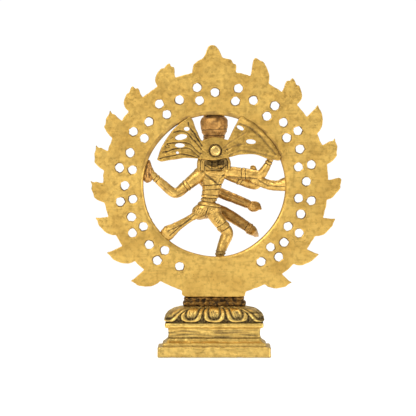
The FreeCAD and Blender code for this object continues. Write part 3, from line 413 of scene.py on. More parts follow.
# On the sides the petals run nearly straight down instead of spreading like a fan.
# Each petal's seat is an axis (0 along the width, 1 along the depth, -1 for a corner petal) and a place on it.
CORNER = (-1, 0)
petal_seats = [CORNER, (0, PETAL_PITCH), (0, 0), (0, -PETAL_PITCH), CORNER, (1, SIDE_PETAL), (1, -SIDE_PETAL)]
petal_seats += [(axis, -seat) for axis, seat in petal_seats]
seat_axis = np.tile([petal_seats[k][0] for k in nearest_petal], len(pedestal_tiers))
seat_place = np.tile([petal_seats[k][1] for k in nearest_petal], len(pedestal_tiers))
straight = np.where(seat_axis == 0, pedestal.points[:, 0], pedestal.points[:, 1]) / MM - seat_place
straight_share = np.where(seat_axis >= 0, 0.6, 0.0)
signed_aside = walked_aside * (1 - straight_share) + np.sign(walked_aside) * np.abs(straight) * straight_share
aside = np.abs(signed_aside)
on_lotus = np.repeat(is_lotus, tier_size)
hang = np.clip((LOTUS_TOP - pedestal.points[:, 2] / MM) / (LOTUS_TOP - LOTUS_FOOT), 0.0, 1.1)
PETAL_HALF_WIDTH, HEART_HALF_WIDTH = 6.6, 3.9
outer_petal = 1 - ((aside / PETAL_HALF_WIDTH) ** 2.6 + (hang / 0.99) ** 4) ** (1 / 2.8)
inner_petal = 1 - ((aside / HEART_HALF_WIDTH) ** 2.6 + (hang / 0.76) ** 3.4) ** (1 / 2.8)
between_petals = np.clip(-outer_petal * PETAL_HALF_WIDTH / 0.5 + 0.6, 0.0, 1.0) * on_lotus
petal_line = np.exp(-((inner_petal * HEART_HALF_WIDTH / 0.62) ** 2)) * on_lotus
petal_heart = np.clip(inner_petal * HEART_HALF_WIDTH / 1.2, 0.0, 1.0) * on_lotus
pedestal.raise_by(-0.75 * between_petals - 0.5 * petal_line + 0.25 * petal_heart)
pedestal.soot_and_shade = np.clip(between_petals * 1.3 + petal_line * 1.3, 0.0, 1.0)
# Small punched strokes in each petal's heart: across and down from the petal's middle, in millimetres.
PETAL_STROKES = [
    ((-1.7, 3.0), (-1.1, 4.4)), ((-0.4, 2.4), (-0.1, 3.9)), ((1.0, 2.8), (0.7, 4.3)), ((-1.3, 5.2), (-0.4, 6.2)),
    ((0.1, 4.8), (0.5, 6.2)), ((1.4, 4.6), (1.2, 5.8)),
]
down = hang * (LOTUS_TOP - LOTUS_FOOT)
for start, end in PETAL_STROKES:
    reach = np.subtract(end, start)
    off = np.stack([signed_aside, down], axis=1) - start
    share = np.clip(off @ reach / (reach @ reach), 0.0, 1.0)
    stroke = np.exp(-((np.linalg.norm(off - share[:, None] * reach, axis=1) / 0.36) ** 2)) * on_lotus
    pedestal.raise_by(-0.22 * stroke, 0.85 * stroke)
pedestal.settle()
# Painted shade lies as dark lines along the top of the rim under the lotus, at the foot of the waist and at both
# edges of the step above the slab. The waist is darkened in level streaks.
height = pedestal.points[:, 2] / MM
STREAK_LENGTH, STREAK_HEIGHT = 0.009, 0.0011  # metres
streak_size = (STREAK_LENGTH, STREAK_LENGTH, STREAK_HEIGHT)
streaks = np.array([noise.noise(Vector(tuple(p[k] / streak_size[k] for k in range(3)))) for p in pedestal.points])
in_waist = np.exp(-(((height - 14.4) / 3.0) ** 4))
groove_shade = np.exp(-(((height - 20.95) / 0.32) ** 2)) + np.exp(-(((height - 11.75) / 0.3) ** 2))
groove_shade += 0.6 * np.exp(-(((height - 6.75) / 0.28) ** 2)) + 0.4 * np.exp(-(((height - 8.3) / 0.22) ** 2))
pedestal.raise_by(0.16 * streaks * in_waist, in_waist * np.clip(0.28 + streaks * 1.1, 0.0, 0.8) + 0.9 * groove_shade)
pedestal.roughen(3.4, 0.2, 0.12)
# The lotus is darker towards its -x end, away from the key lamp: painted shade, broken up by the streaks.
far_end_shade = np.clip((-pedestal.points[:, 0] / MM - 12.0) / 12.0, 0.0, 1.0) * on_lotus
pedestal.soot_and_shade = np.clip(pedestal.soot_and_shade + far_end_shade * np.clip(0.25 + 1.6 * streaks, 0.0, 0.8), 0.0, 1.0)

# The foot is rubbed flat on a stone.
pedestal.points[:, 2] = np.maximum(pedestal.points[:, 2], 0.0)

pedestal_brass = brass("chased_brass", (230, 194, 108), (186, 148, 74), (34, 22, 8), blotch=6.0, shine=0.3)
pedestal_piece = pedestal.piece("lotus_pedestal", pedestal_brass)
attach(pedestal_piece, "root")
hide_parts("pedestal")

# ------------------------------------------------------------------------------------------------ screw and washer
# A plain steel hexagon screw and its washer hold the neck block from inside the pedestal. They are bought in,
# zinc plated, and show only from below, so their turned and pressed shapes stay as they were drawn.

zinc = brass("zinc_plate", (205, 206, 202), (160, 162, 160), (60, 58, 54), blotch=3.0, worn=0.6, shine=0.28)
for node in ("fixing_screw", "fixing_washer"):
    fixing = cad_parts[node]
    fixing.data.materials.clear()
    fixing.data.materials.append(zinc)

# ------------------------------------------------------------------------------------------------ neck block
# A rough block between the lotus and the dwarf, with two squashed rolls at its foot. It was never filed, so it
# is nearly black, and the ring's foot stands on its back edge.

neck_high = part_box("neck_block")[1]
NECK_TOP = neck_high.z / MM
ROLL_MIDDLE_Y, BLOCK_MIDDLE_Y = -2.0, -3.0
ROLL_BACK_Y, BLOCK_BACK_Y = 7.7, 4.8
# half width, half depth, corner, height
ROLL_RUNS = [
    [(4.0, 2.0, 1.6, 36.4), (17.0, 8.2, 1.6, 36.2)],
    [(17.0, 8.2, 1.6, 36.2), (17.9, 8.7, 1.6, 35.6), (18.2, 8.9, 1.6, 34.7), (17.5, 8.4, 1.6, 33.8)],
    [(17.5, 8.4, 1.6, 33.8), (18.6, 9.2, 1.6, 33.2), (19.0, 9.5, 1.6, 32.0), (18.7, 9.3, 1.6, 30.9),
     (17.8, 8.6, 1.6, 30.3)],
    [(17.8, 8.6, 1.6, 30.3), (4.0, 2.0, 1.6, 30.3)],
]
BLOCK_RUNS = [
    [(4.0, 2.0, 1.6, NECK_TOP), (16.2, 7.2, 1.6, NECK_TOP)],
    [(16.2, 7.2, 1.6, NECK_TOP), (17.0, 7.8, 1.6, 43.0), (16.6, 7.6, 1.6, 40.0), (17.0, 7.8, 1.6, 36.0)],
    [(17.0, 7.8, 1.6, 36.0), (4.0, 2.0, 1.6, 35.5)],
]
neck_plan = tier_plan(90, 44, 8)
neck_brass = brass("black_brass", (150, 112, 56), (96, 68, 32), (36, 24, 10),
                   blotch=4.0, worn=0.9, shine=0.42, pitted=1.2)
neck_parts = (
    (ROLL_RUNS, ROLL_MIDDLE_Y, ROLL_BACK_Y, "neck_rolls"),
    (BLOCK_RUNS, BLOCK_MIDDLE_Y, BLOCK_BACK_Y, "neck_riser"),
)
for runs, middle_y, back_y, name in neck_parts:
    tiers = []
    for run in runs:
        tiers += flowing(run, 0.4)[1 if tiers else 0:]
    neck = stack_tiers(tiers, neck_plan, middle_y)
    neck.roughen(2.6, 0.55, soot_and_shade=2.2)
    neck.points[:, 1] = np.minimum(neck.points[:, 1], back_y * MM)
    neck_piece = neck.piece(name, neck_brass)
    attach(neck_piece, "root")
    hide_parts("neck_block")

# ------------------------------------------------------------------------------------------------ flame ring
# A flat plate cast in one with its flames, pierced by a big round opening and drilled with small holes. The
# back is filed flat and rubbed, the front carries two rope mouldings and three tongues on every flame.

ring_low, ring_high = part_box("flame_ring")
RING_BACK = ring_high.y / MM
RING_THICKNESS = 3.2
RING_FACE = RING_BACK - RING_THICKNESS
RING_RADIUS = 68.6
DISC_X = -0.9
DISC_Z = ring_low.z / MM + RING_RADIUS + 0.8
OPENING_RADIUS = 43.2
OPENING_X, OPENING_Z = 0.9, -1.6
FLAME_WIDTH, FLAME_HEIGHT = 12.0, 9.4
# Angles from the top of the ring in degrees. Side 1 is the dancer's left, side -1 the dancer's right.
FLAME_ANGLES = {1: [26, 45.5, 61.5, 78.5, 95, 112.5, 129, 145.5], -1: [23, 41, 59, 75.5, 93.5, 113, 131, 149]}
FLAME_GROWTH = {
    1: [1.04, 0.98, 1.01, 0.84, 0.8, 0.82, 1.1, 1.12],
    -1: [1.23, 1.14, 1.04, 0.96, 0.86, 0.81, 0.82, 0.86],
}
FLAME_KINDS = {
    1: ["forked", "forked", "notched", "notched", "notched", "leaf", "leaf", "leaf"],
    -1: ["blunt", "forked", "leaf", "notched", "blunt", "leaf", "leaf", "leaf"],
}
# Each kind of flame from its foot over its belly and teeth to its head: share of its width, share of its height.
FLAME_EDGES = {
    "forked": [(0, 0), (0.0, 0.2), (0.03, 0.4), (0.12, 0.58), (0.3, 0.74), (0.55, 0.9), (0.66, 0.82), (0.86, 0.97),
               (1.0, 1.0), (1.0, 0.76), (1.12, 0.68), (1.1, 0.45), (1.04, 0.3), (1.0, 0)],
    "notched": [(0, 0), (0.06, 0.25), (0.16, 0.5), (0.33, 0.82), (0.45, 0.8), (0.72, 0.97), (0.92, 0.93),
                (1.12, 1.0),
                (1.02, 0.78), (1.07, 0.6), (1.02, 0.3), (1.0, 0)],
    "leaf": [(0, 0), (0.05, 0.2), (0.14, 0.38), (0.26, 0.56), (0.4, 0.68), (0.56, 0.8), (0.76, 0.93), (0.95, 0.93),
             (1.15, 1.0), (1.08, 0.7), (1.06, 0.48), (1.03, 0.25), (1.0, 0)],
    "blunt": [(0, 0), (0.06, 0.2), (0.16, 0.42), (0.4, 0.69), (0.63, 0.92), (0.78, 0.93), (1.04, 1.0), (1.1, 0.85),
              (1.08, 0.6), (1.03, 0.3), (1.0, 0)],
}
# The crown flame's two sides: millimetres from its middle, millimetres above the disc's centre.
CROWN_FLAME = [
    (13.5, 67.3), (13.2, 69.5), (12.7, 72.2), (11.4, 73.3), (9.8, 74.4), (8.2, 75.2), (6.5, 76.5), (5.3, 78.6),
    (4.6, 81.0), (3.6, 83.0), (2.0, 84.0), (0.6, 84.2), (-1.0, 83.5), (-2.5, 81.8), (-3.7, 79.4), (-5.0, 76.5),
    (-7.6, 76.0), (-10.6, 75.0), (-11.5, 72.8), (-13.4, 72.2), (-13.5, 70.4), (-13.1, 67.4),
]
FOOT_LEFT, FOOT_RIGHT = 19.6, -18.2
PAIR_ANGLES = {1: [11, 35.5, 58, 81, 101, 121, 143], -1: [13.5, 37.5, 57.5, 79, 100.5, 121, 139.5]}
SINGLE_ANGLES = {1: [0.5, 23.5, 47.5, 70.5, 91.5, 112, 133, 156.5], -1: [24.5, 48, 68, 89, 110, 131, 150]}
HOLE_RADIUS = 2.6
MIDDLE_ROW, ROW_STEP = 55.3, 3.95
# The plain edge is stepped along in degrees, down to where the foot begins.
EDGE_STEP = 1.3
LAST_ANGLE = {1: 163.5, -1: 164.5}


def on_disc(angle, radius, side=1):
    """A point of the plate, from an angle off the top and a radius, about the disc's centre."""
    turn = math.radians(angle)
    return (side * radius * math.sin(turn), radius * math.cos(turn))


def side_outline(side):
    """One half of the plate's edge, from the crown flame down to the foot."""
    outline, angle = [], 12.0
    half = math.degrees(FLAME_WIDTH / RING_RADIUS) / 2
    for middle, growth, kind in zip(FLAME_ANGLES[side], FLAME_GROWTH[side], FLAME_KINDS[side]):
        while angle < middle - half - 0.8:
            outline.append(on_disc(angle, RING_RADIUS, side))
            angle += EDGE_STEP
        for along, out in reversed(FLAME_EDGES[kind]):
            reach = RING_RADIUS + out * growth * FLAME_HEIGHT
            outline.append(on_disc(middle + half - along * 2 * half, reach, side))
        angle = middle + half + EDGE_STEP
    while angle < LAST_ANGLE[side]:
        outline.append(on_disc(angle, RING_RADIUS, side))
        angle += EDGE_STEP
    return outline


def blunted(outline, cut):
    """The outline with its corners filed off by a small cut, in millimetres."""
    filed = []
    for before, here, after in zip(outline[-1:] + outline[:-1], outline, outline[1:] + outline[:1]):
        for other in (before, after):
            length = math.dist(here, other)
            share = min(0.35, cut / length)
            filed.append(tuple(a + (b - a) * share for a, b in zip(here, other)))
    return filed


def circle_line(x, z, radius, steps, wobble=0.0):
    """A drilled or sawn circle, clockwise as seen from the front, not quite true."""
    line = []
    for turn in (2 * math.pi * k / steps for k in range(steps)):
        size = radius + wobble * noise.noise(Vector((x + 2 * math.cos(turn), z + 2 * math.sin(turn), 0.0)))
        line.append((x + size * math.cos(turn), z - size * math.sin(turn)))
    return line


def plate(loops, edges, back, front, centre):
    """A flat plate from its edge lines. Each line has a round-over for the back and one for the front, as steps
    of (drawn in, sunk)."""
    points, faces, flats = [], [], ([], [])
    for loop, edge in zip(loops, edges):
        ring = np.array(loop, float)
        tangent = np.roll(ring, -1, axis=0) - np.roll(ring, 1, axis=0)
        inward = np.stack([-tangent[:, 1], tangent[:, 0]], axis=1)
        inward /= np.linalg.norm(inward, axis=1)[:, None]
        rows = [(ring + inward * draw, back - sink) for draw, sink in edge[0]]
        rows += [(ring + inward * draw, front + sink) for draw, sink in edge[1]]
        start, count = len(points), len(ring)
        for flat, y in rows:
            points += [((x + centre[0]) * MM, y * MM, (z + centre[1]) * MM) for x, z in flat]
        for row in range(len(rows) - 1):
            for k in range(count):
                a, b = start + row * count + k, start + row * count + (k + 1) % count
                faces.append((a, b, b + count, a + count))
        flats[0].append([start + k for k in range(count)])
        flats[1].append([start + (len(rows) - 1) * count + k for k in range(count)])
    for side, flat in enumerate(flats):
        numbers = [number for line in flat for number in line]
        lines = [[Vector((points[n][0], points[n][2], 0.0)) for n in line] for line in flat]
        for triangle in tessellate_polygon(lines):
            face = [numbers[n] for n in triangle]
            a, b, c = (Vector(points[n]) for n in face)
            if ((b - a).cross(c - a).y > 0) == bool(side):
                face.reverse()
            faces.append(tuple(face))
    return points, faces


outline = [(x + OPENING_X, z) for x, z in CROWN_FLAME[::-1]]
outline = side_outline(-1)[::-1] + outline + side_outline(1)
foot = ring_low.z / MM - DISC_Z
outline += [(FOOT_LEFT + 0.9, foot + 3.4), (FOOT_LEFT + 1.1, foot + 1.4), (FOOT_LEFT - 0.6, foot + 0.2)]
outline += [(FOOT_LEFT - 4, foot), (0.0, foot), (FOOT_RIGHT + 4, foot), (FOOT_RIGHT + 0.6, foot + 0.3)]
outline += [(FOOT_RIGHT, foot + 2.4)]
outline = blunted(blunted(outline, 0.45), 0.2)
filed_outline = []
for x, z in outline:
    wander = 0.34 * noise.noise(Vector((x / 3.0, z / 3.0, 7.0)))
    filed_outline.append((x * (1 + wander / RING_RADIUS), z * (1 + wander / RING_RADIUS) if z > foot + 1 else z))
filed_outline.reverse()
ring_loops = [filed_outline, circle_line(OPENING_X, OPENING_Z, OPENING_RADIUS, 260, 0.5)]
for side in (1, -1):
    for angle in PAIR_ANGLES[side]:
        ring_loops.append(circle_line(*on_disc(angle, MIDDLE_ROW + ROW_STEP, side), HOLE_RADIUS, 36, 0.4))
        ring_loops.append(circle_line(*on_disc(angle, MIDDLE_ROW - ROW_STEP, side), HOLE_RADIUS, 36, 0.4))
    for angle in SINGLE_ANGLES[side]:
        ring_loops.append(circle_line(*on_disc(angle, MIDDLE_ROW, side), HOLE_RADIUS, 36, 0.4))
soft_edge = ([(0.36, 0.0), (0.12, 0.08), (0.0, 0.34)], [(0.0, 0.34), (0.12, 0.08), (0.36, 0.0)])
opening_edge = (
    [(2.7, 0.0), (2.1, 0.05), (1.3, 0.2), (0.6, 0.6), (0.2, 1.1), (0.0, 1.7)],
    [(0.0, 0.3), (0.1, 0.08), (0.3, 0.0)],
)
drilled_edge = ([(0.75, 0.0), (0.5, 0.06), (0.1, 0.22), (0.0, 0.6)], [(0.0, 0.16), (0.04, 0.05), (0.14, 0.0)])
ring_edges = [soft_edge, opening_edge] + [drilled_edge] * (len(ring_loops) - 2)
ring = Casting(*plate(ring_loops, ring_edges, RING_BACK, RING_FACE, (DISC_X, DISC_Z)))
# The walls of the holes and the opening's bevelled edge carry mottled painted shade, heaviest on the upper part of
# the opening, whose wall faces down.
depth = RING_BACK - ring.points[:, 1] / MM
from_opening = np.hypot(ring.points[:, 0] / MM - DISC_X - OPENING_X, ring.points[:, 2] / MM - DISC_Z - OPENING_Z)
from_disc = np.hypot(ring.points[:, 0] / MM - DISC_X, ring.points[:, 2] / MM - DISC_Z)
walls = (depth > 0.03) & (depth < RING_BACK - RING_FACE - 0.03)
in_opening = (from_opening < OPENING_RADIUS + 2.5) & walls
upper_wall_shade = np.clip((ring.points[:, 2] / MM - DISC_Z) / 20.0, 0.0, 1.0)
in_hole = walls & (from_opening > OPENING_RADIUS + 3) & (from_disc < MIDDLE_ROW + ROW_STEP + HOLE_RADIUS + 0.5)
SMEAR_SIZE = 0.0052  # metres
smear = np.array([noise.noise(Vector((p[0] / SMEAR_SIZE, 0.0, p[2] / SMEAR_SIZE))) for p in ring.points])
smear = np.clip(0.5 + 1.7 * smear, 0.0, 1.0)
ring.soot_and_shade = np.where(in_opening, (0.03 + 0.62 * upper_wall_shade) * (0.45 + 0.6 * smear), 0.0) + np.where(in_hole, smear, 0.0)

ring_brass = brass("filed_brass", (224, 185, 98), (190, 148, 70), (84, 54, 20),
                   blotch=14.0, worn=0.62, shine=0.34, crevice=0.5, edge_wear_and_highlight=0.0, cracked=0.35)
ring_piece = ring.piece("flame_ring_plate", ring_brass)
for face in ring_piece.data.polygons:
    face.use_smooth = abs(face.normal.y) < 0.98
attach(ring_piece, "root")
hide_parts("flame_ring")

# The front's relief is cast with the plate: a rope moulding round the edge and one round the opening, and tongues
# of fire that curl up each flame. Its hollows are darkened, as old black and as painted shade.


def rope(radius, middle, half_width, height, first, last, strands):
    """A twisted moulding on the plate's front face, between two angles off the top."""
    points, faces = [], []
    steps, around = round(abs(last - first) * 2.2), 10
    for step in range(steps + 1):
        angle = first + (last - first) * step / steps
        for k in range(around + 1):
            swing = math.pi * k / around
            lay = 1 + 0.16 * math.cos(math.radians(angle) * strands + 2.4 * swing)
            x, z = on_disc(angle, radius - half_width * math.cos(swing) * lay)
            y = RING_FACE + 0.1 - height * math.sin(swing) * lay
            points.append(((x + middle[0]) * MM, y * MM, (z + middle[1]) * MM))
    row = around + 1
    for step in range(steps):
        for k in range(around):
            a = step * row + k
            faces.append((a, a + 1, a + 1 + row, a + row))
    for step in range(steps):
        a = step * row
        faces.append((a, a + row, a + row + around, a + around))
    faces.append(tuple(range(row)))
    faces.append(tuple(steps * row + k for k in reversed(range(row))))
    return points, faces


def tongue(start, end, bend, half_width, height):
    """One curling tongue of fire lying on the front face, a ridge that is fat at its foot and sharp at its tip."""
    points, faces, steps, around = [], [], 14, 8
    run = np.subtract(end, start)
    across = np.array((-run[1], run[0])) / np.linalg.norm(run)
    for step in range(steps + 1):
        share = step / steps
        middle = np.array(start) + run * share + across * bend * math.sin(math.pi * share * 0.9)
        size = math.sin(math.pi * min(1.0, 0.14 + share * 0.86)) ** 0.7 * (1 - 0.35 * share) + 0.02
        for k in range(around + 1):
            swing = math.pi * k / around
            x, z = middle + across * half_width * size * math.cos(swing)
            rise = height * size * math.sin(swing) ** 0.8
            points.append(((x + DISC_X) * MM, (RING_FACE + 0.1 - rise) * MM, (z + DISC_Z) * MM))
    row = around + 1
    for step in range(steps):
        a = step * row
        faces += [(a + k, a + k + row, a + k + 1 + row, a + k + 1) for k in range(around)]
        faces.append((a, a + around, a + around + row, a + row))
    faces.append(tuple(reversed(range(row))))
    faces.append(tuple(steps * row + k for k in range(row)))
    return points, faces


def joined(parts):
    """Several shapes as one list of points and faces."""
    points, faces = [], []
    for part_points, part_faces in parts:
        faces += [tuple(number + len(points) for number in face) for face in part_faces]
        points += part_points
    return points, faces


relief = [
    rope(66.4, (DISC_X, DISC_Z), 1.7, 1.8, -160, 160, 96),
    rope(OPENING_RADIUS + 1.9, (DISC_X + OPENING_X, DISC_Z + OPENING_Z), 1.6, 1.7, -158, 158, 70),
]
for side in (1, -1):
    for middle, growth in zip(FLAME_ANGLES[side], FLAME_GROWTH[side]):
        tall = growth * FLAME_HEIGHT
        for lean, reach, bend in ((4.2, 0.5, -0.5), (1.2, 0.82, -0.9), (-2.6, 0.9, -1.0)):
            root = on_disc(middle + lean, RING_RADIUS - 0.2, side)
            tip = on_disc(middle + lean * 0.6 - 3.4 * reach, RING_RADIUS + reach * tall, side)
            relief.append(tongue(root, tip, side * bend, 1.25, 1.5))
CROWN_TONGUES = ((0.0, 14.2, 0.0), (4.6, 8.0, -0.8), (-4.6, 8.0, 0.8), (9.0, 5.0, -0.8), (-9.0, 5.0, 0.8))
for across, reach, bend in CROWN_TONGUES:
    root = (OPENING_X + across, RING_RADIUS - 0.4 - abs(across) * 0.08)
    relief.append(tongue(root, (OPENING_X + across * 0.8, RING_RADIUS + reach), bend, 2.0, 1.7))
ring_relief = Casting(*joined(relief))
ring_relief.roughen(1.5, 0.12)
relief_brass = brass("relief_brass", (226, 186, 98), (176, 136, 66), (42, 28, 12),
                     blotch=6.0, worn=0.6, shine=0.28, crevice=0.95)
relief_piece = ring_relief.piece("flame_ring_relief", relief_brass)
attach(relief_piece, "root")

# ------------------------------------------------------------------------------------------------ dwarf
# The small figure that lies along the neck block under the dancer's foot. It is cast solid in brass, marked
# with a few cuts of the chisel, brazed down to the block and left dark.

FIGURE_Z = 104.0


def limb(stations, middle=(0.0, 0.0, FIGURE_Z), flatten=1.0, spacing=0.6, around=20):
    """A round limb with ball ends through stations of (x, y, z, radius). Flatten thins it from front to back."""
    line = flowing(stations, spacing)
    rings = []
    starts = [(line[0], line[1], -1), (line[-1], line[-2], 1)]
    for end, inner, order in starts:
        outward = (end[:3] - inner[:3]) / np.linalg.norm(end[:3] - inner[:3])
        caps = []
        for turn in (20, 40, 58, 74, 88):
            beyond, size = math.sin(math.radians(turn)), math.cos(math.radians(turn))
            caps.append((end[:3] + outward * end[3] * beyond, end[3] * size))
        rings.append(caps[::order] if order < 0 else caps)
    centres = [c for c, r in rings[0]] + [p[:3] for p in line] + [c for c, r in rings[1]]
    radii = [r for c, r in rings[0]] + [p[3] for p in line] + [r for c, r in rings[1]]
    points, side = [], np.array((0.0, 1.0, 0.0))
    for number, (centre, radius) in enumerate(zip(centres, radii)):
        tangent = centres[min(number + 1, len(centres) - 1)] - centres[max(number - 1, 0)]
        tangent = tangent / np.linalg.norm(tangent)
        side = side - tangent * (side @ tangent)
        side = side / np.linalg.norm(side)
        other = np.cross(tangent, side)
        for turn in (2 * math.pi * k / around for k in range(around)):
            place = centre + radius * (side * math.cos(turn) * flatten + other * math.sin(turn)) + middle
            points.append(tuple(place * MM))
    faces = []
    for ring_number in range(len(centres) - 1):
        for k in range(around):
            a, b = ring_number * around + k, ring_number * around + (k + 1) % around
            faces.append((a, b, b + around, a + around))
    faces.append(tuple(reversed(range(around))))
    faces.append(tuple((len(centres) - 1) * around + k for k in range(around)))
    return points, faces


def ball(x, y, z, width, deep=None, tall=None, middle=(0.0, 0.0, FIGURE_Z)):
    """An egg shape with half sizes along the three axes."""
    deep, tall = deep or width, tall or width
    points, faces, around, rows = [], [], 20, 12
    for row in range(1, rows):
        lift = math.pi * row / rows
        for turn in (2 * math.pi * k / around for k in range(around)):
            spot = (x + width * math.sin(lift) * math.cos(turn), y + deep * math.sin(lift) * math.sin(turn),
                    z + tall * math.cos(lift))
            points.append(tuple((np.array(spot) + middle) * MM))
    for row in range(rows - 2):
        for k in range(around):
            a, b = row * around + k, row * around + (k + 1) % around
            faces.append((a, a + around, b + around, b))
    faces.append(tuple(range(around)))
    faces.append(tuple((rows - 2) * around + k for k in reversed(range(around))))
    return points, faces


def install(casting, name, material, node):
    """Puts a finished casting in its place on the statue."""
    made = casting.piece(name, material)
    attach(made, "root")
    if node:
        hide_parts(node)
    return made


DWARF_AT = (0.0, -3.0, NECK_TOP)
dwarf = Casting(*joined([
    limb([(-6, 0, 7.6, 5.6), (1, 0, 7.2, 5.4), (8, 0, 6.6, 5.4)], DWARF_AT),
    ball(-11.4, -0.8, 8.4, 4.2, 4.0, 4.2, DWARF_AT),
    ball(-13.0, -1.2, 10.4, 3.6, 3.6, 2.2, DWARF_AT),
    ball(-14.2, -3.6, 8.2, 0.8, 0.9, 0.8, DWARF_AT),
    limb([(9.4, -2.4, 5, 3.6), (13, -3.2, 6.4, 3.0), (15.2, -1.8, 2.6, 2.2)], DWARF_AT),
    limb([(9.4, 2.4, 5, 3.4), (13.6, 2.6, 4.2, 2.8), (16.2, 0.8, 2.0, 1.8)], DWARF_AT),
    limb([(-5, -4.4, 8.0, 2.6), (-8.8, -5.4, 4.0, 2.3), (-12.8, -4.2, 1.9, 1.9)], DWARF_AT),
    limb([(-3, -5.0, 6.4, 1.5), (5, -5.4, 4.0, 1.5), (9, -4.8, 2.0, 1.2)], DWARF_AT),
    limb([(-12, 0, 1.0, 1.4), (0, 0, 1.0, 2.0), (13, 0, 1.0, 1.4)], DWARF_AT),
])).melt(0.32)
dwarf.points[:, 2] = np.clip(dwarf.points[:, 2], NECK_TOP * MM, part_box("dwarf")[1].z)
dwarf.band((-1.5, -3, 51), (1, 0, 0.1), 9, 1.0, 0.5, 0.0, beads=22)
dwarf.band((5.5, -3, 50.4), (1, 0, 0), 9, 1.6, 0.4)
dwarf.band((4.2, -3, 50.4), (1, 0, 0), 9, 0.5, -0.3, 0.9)
front_cuts = [[(-9.5, 55), (-8.6, 51), (-9.6, 48)], [(-13.6, 53.6), (-12.2, 54.2)]]
dwarf.engrave(front_cuts, 0.7, 0.35, towards=(0, -1, 0))
dwarf.roughen(2.0, 0.16, 0.3)
install(dwarf, "lying_dwarf", relief_brass, "dwarf")

# ------------------------------------------------------------------------------------------------ legs
# The left leg stands bent on the dwarf; the right one is raised across it. Both were cast apart and brazed at
# the hip. Anklets and knee bands are chased, and the backs are only scraped.

figure_brass = brass("figure_brass", (220, 180, 98), (160, 122, 60), (38, 24, 8),
                     blotch=4.0, worn=0.6, shine=0.36, crevice=0.9)
# A darker copy of the figure's brass for the raised leg, the front left arm and the drum, which stand farther from
# the camera: painted shade.
shaded_figure_brass = brass("shaded_figure_brass", (196, 152, 82), (142, 106, 54), (42, 26, 10),
                   blotch=5.0, worn=0.5, shine=0.38, crevice=0.9)

standing = Casting(*joined([
    limb([(0.4, -2.6, -17.4, 4.3), (-5, -3.2, -24.6, 3.9), (-8.0, -3.8, -28.9, 3.6), (-6.6, -3.2, -33.4, 3.6),
          (-4.0, -2.7, -40.0, 2.9), (-3.4, -2.7, -44.6, 2.6)]),
    ball(-8.6, -5.0, -28.8, 2.9, 2.6, 2.8),
    limb([(-3.2, -1.2, -45.0, 2.0), (-3.6, -4.6, -45.0, 1.8), (-4.2, -8.0, -45.4, 1.4)]),
    *[limb([(-5.6 + 0.9 * toe, -8.2, -45.6, 0.65), (-5.8 + 0.95 * toe, -9.2, -45.8, 0.6)]) for toe in range(4)],
])).melt(0.28)
standing.band((-4.6, -3.1, 80.4), (0.55, 0.1, 0.83), 6, 0.45, -0.35, 1.0)
standing.band((-5.6, -3.2, 78.8), (0.55, 0.1, 0.83), 6, 1.9, 0.3, 0.15)
standing.band((-6.6, -3.3, 77.3), (0.55, 0.1, 0.83), 6, 0.45, -0.35, 1.0)
standing.band((-3.3, -2.7, 62.2), (0.05, 0, 1), 4.5, 1.1, 0.5, 0.3, beads=16)
standing.band((-3.4, -2.7, 64.2), (0.05, 0, 1), 4.5, 0.6, 0.3)
thigh_cuts = [[(-2.4, 83.4), (-1.2, 81.8)], [(-3.4, 82.6), (-2.0, 80.9)], [(-1.4, 84.6), (0, 83.2)]]
standing.engrave(thigh_cuts, 0.45, 0.3)
standing.engrave([[(-5.6, 84.4), (-2.4, 80)], [(-3.2, 86.4), (1.0, 81.6)]], 0.5, 0.3, towards=(0, -1, 0))
# The leg is darkened towards its foot.
standing.soot_and_shade = np.clip(standing.soot_and_shade + np.clip((67.0 - standing.points[:, 2] / MM) / 8.0, 0.0, 0.42), 0.0, 1.0)
standing.roughen(2.6, 0.11, 0.3)
install(standing, "standing_leg_cast", figure_brass, "standing_leg")

raised = Casting(*joined([
    limb([(9.2, -3.6, -17.2, 3.9), (4.2, -10, -16.6, 3.8), (-2.6, -13.2, -15.2, 3.4), (-9, -13.4, -18.4, 3.6),
          (-17, -13, -23.4, 3.2), (-22.6, -12.8, -27.2, 3.0)]),
    limb([(-22.8, -12.4, -27.6, 3.3), (-24.4, -15.6, -29.0, 2.4), (-25.6, -19, -30.4, 1.7)]),
    *[limb([(-24.6 - 0.7 * toe, -19.0, -29.4 - 0.6 * toe, 0.6),
            (-24.8 - 0.7 * toe, -20.0, -29.7 - 0.6 * toe, 0.55)])
      for toe in range(4)],
])).melt(0.28)
raised.band((-21.6, -12.9, 77.3), (0.84, 0, 0.55), 4, 1.1, 0.5, 0.3, beads=16)
raised.band((-19.8, -12.9, 78.6), (0.84, 0, 0.55), 4, 0.5, -0.25, 1.0)
raised.band((-2.2, -13.0, 88.8), (0.9, 0.3, -0.2), 6, 1.6, 0.35, 0.1)
raised.band((-0.6, -12.6, 88.6), (0.9, 0.3, -0.2), 6, 0.45, -0.3, 1.0)
raised.engrave([[(-5, 87.6), (-20, 78.0)], [(-8, 84.2), (-16, 79.4)]], 1.4, 0.25, 0.35)
raised.roughen(3.0, 0.17, 0.35)
install(raised, "raised_leg_cast", shaded_figure_brass, "raised_leg")

# ------------------------------------------------------------------------------------------------ torso
# Chest, waist and hips in one brass casting, with the shorts, belts, necklace and sacred thread chased on it.
# The legs, the arms and the head are brazed to it.


def strokes_in(left, right, low, high, count, lean, seed):
    """Short punched strokes scattered over a patch, all leaning about one way."""
    strokes = []
    for number in range(count):
        x = left + (right - left) * ((number * 0.618 + seed * 0.37) % 1.0)
        z = low + (high - low) * ((number * 0.414 + seed * 0.61) % 1.0)
        size = 0.7 + 0.5 * ((number * 0.271 + seed) % 1.0)
        strokes.append([(x, z), (x + size * lean[0], z + size * lean[1])])
    return strokes


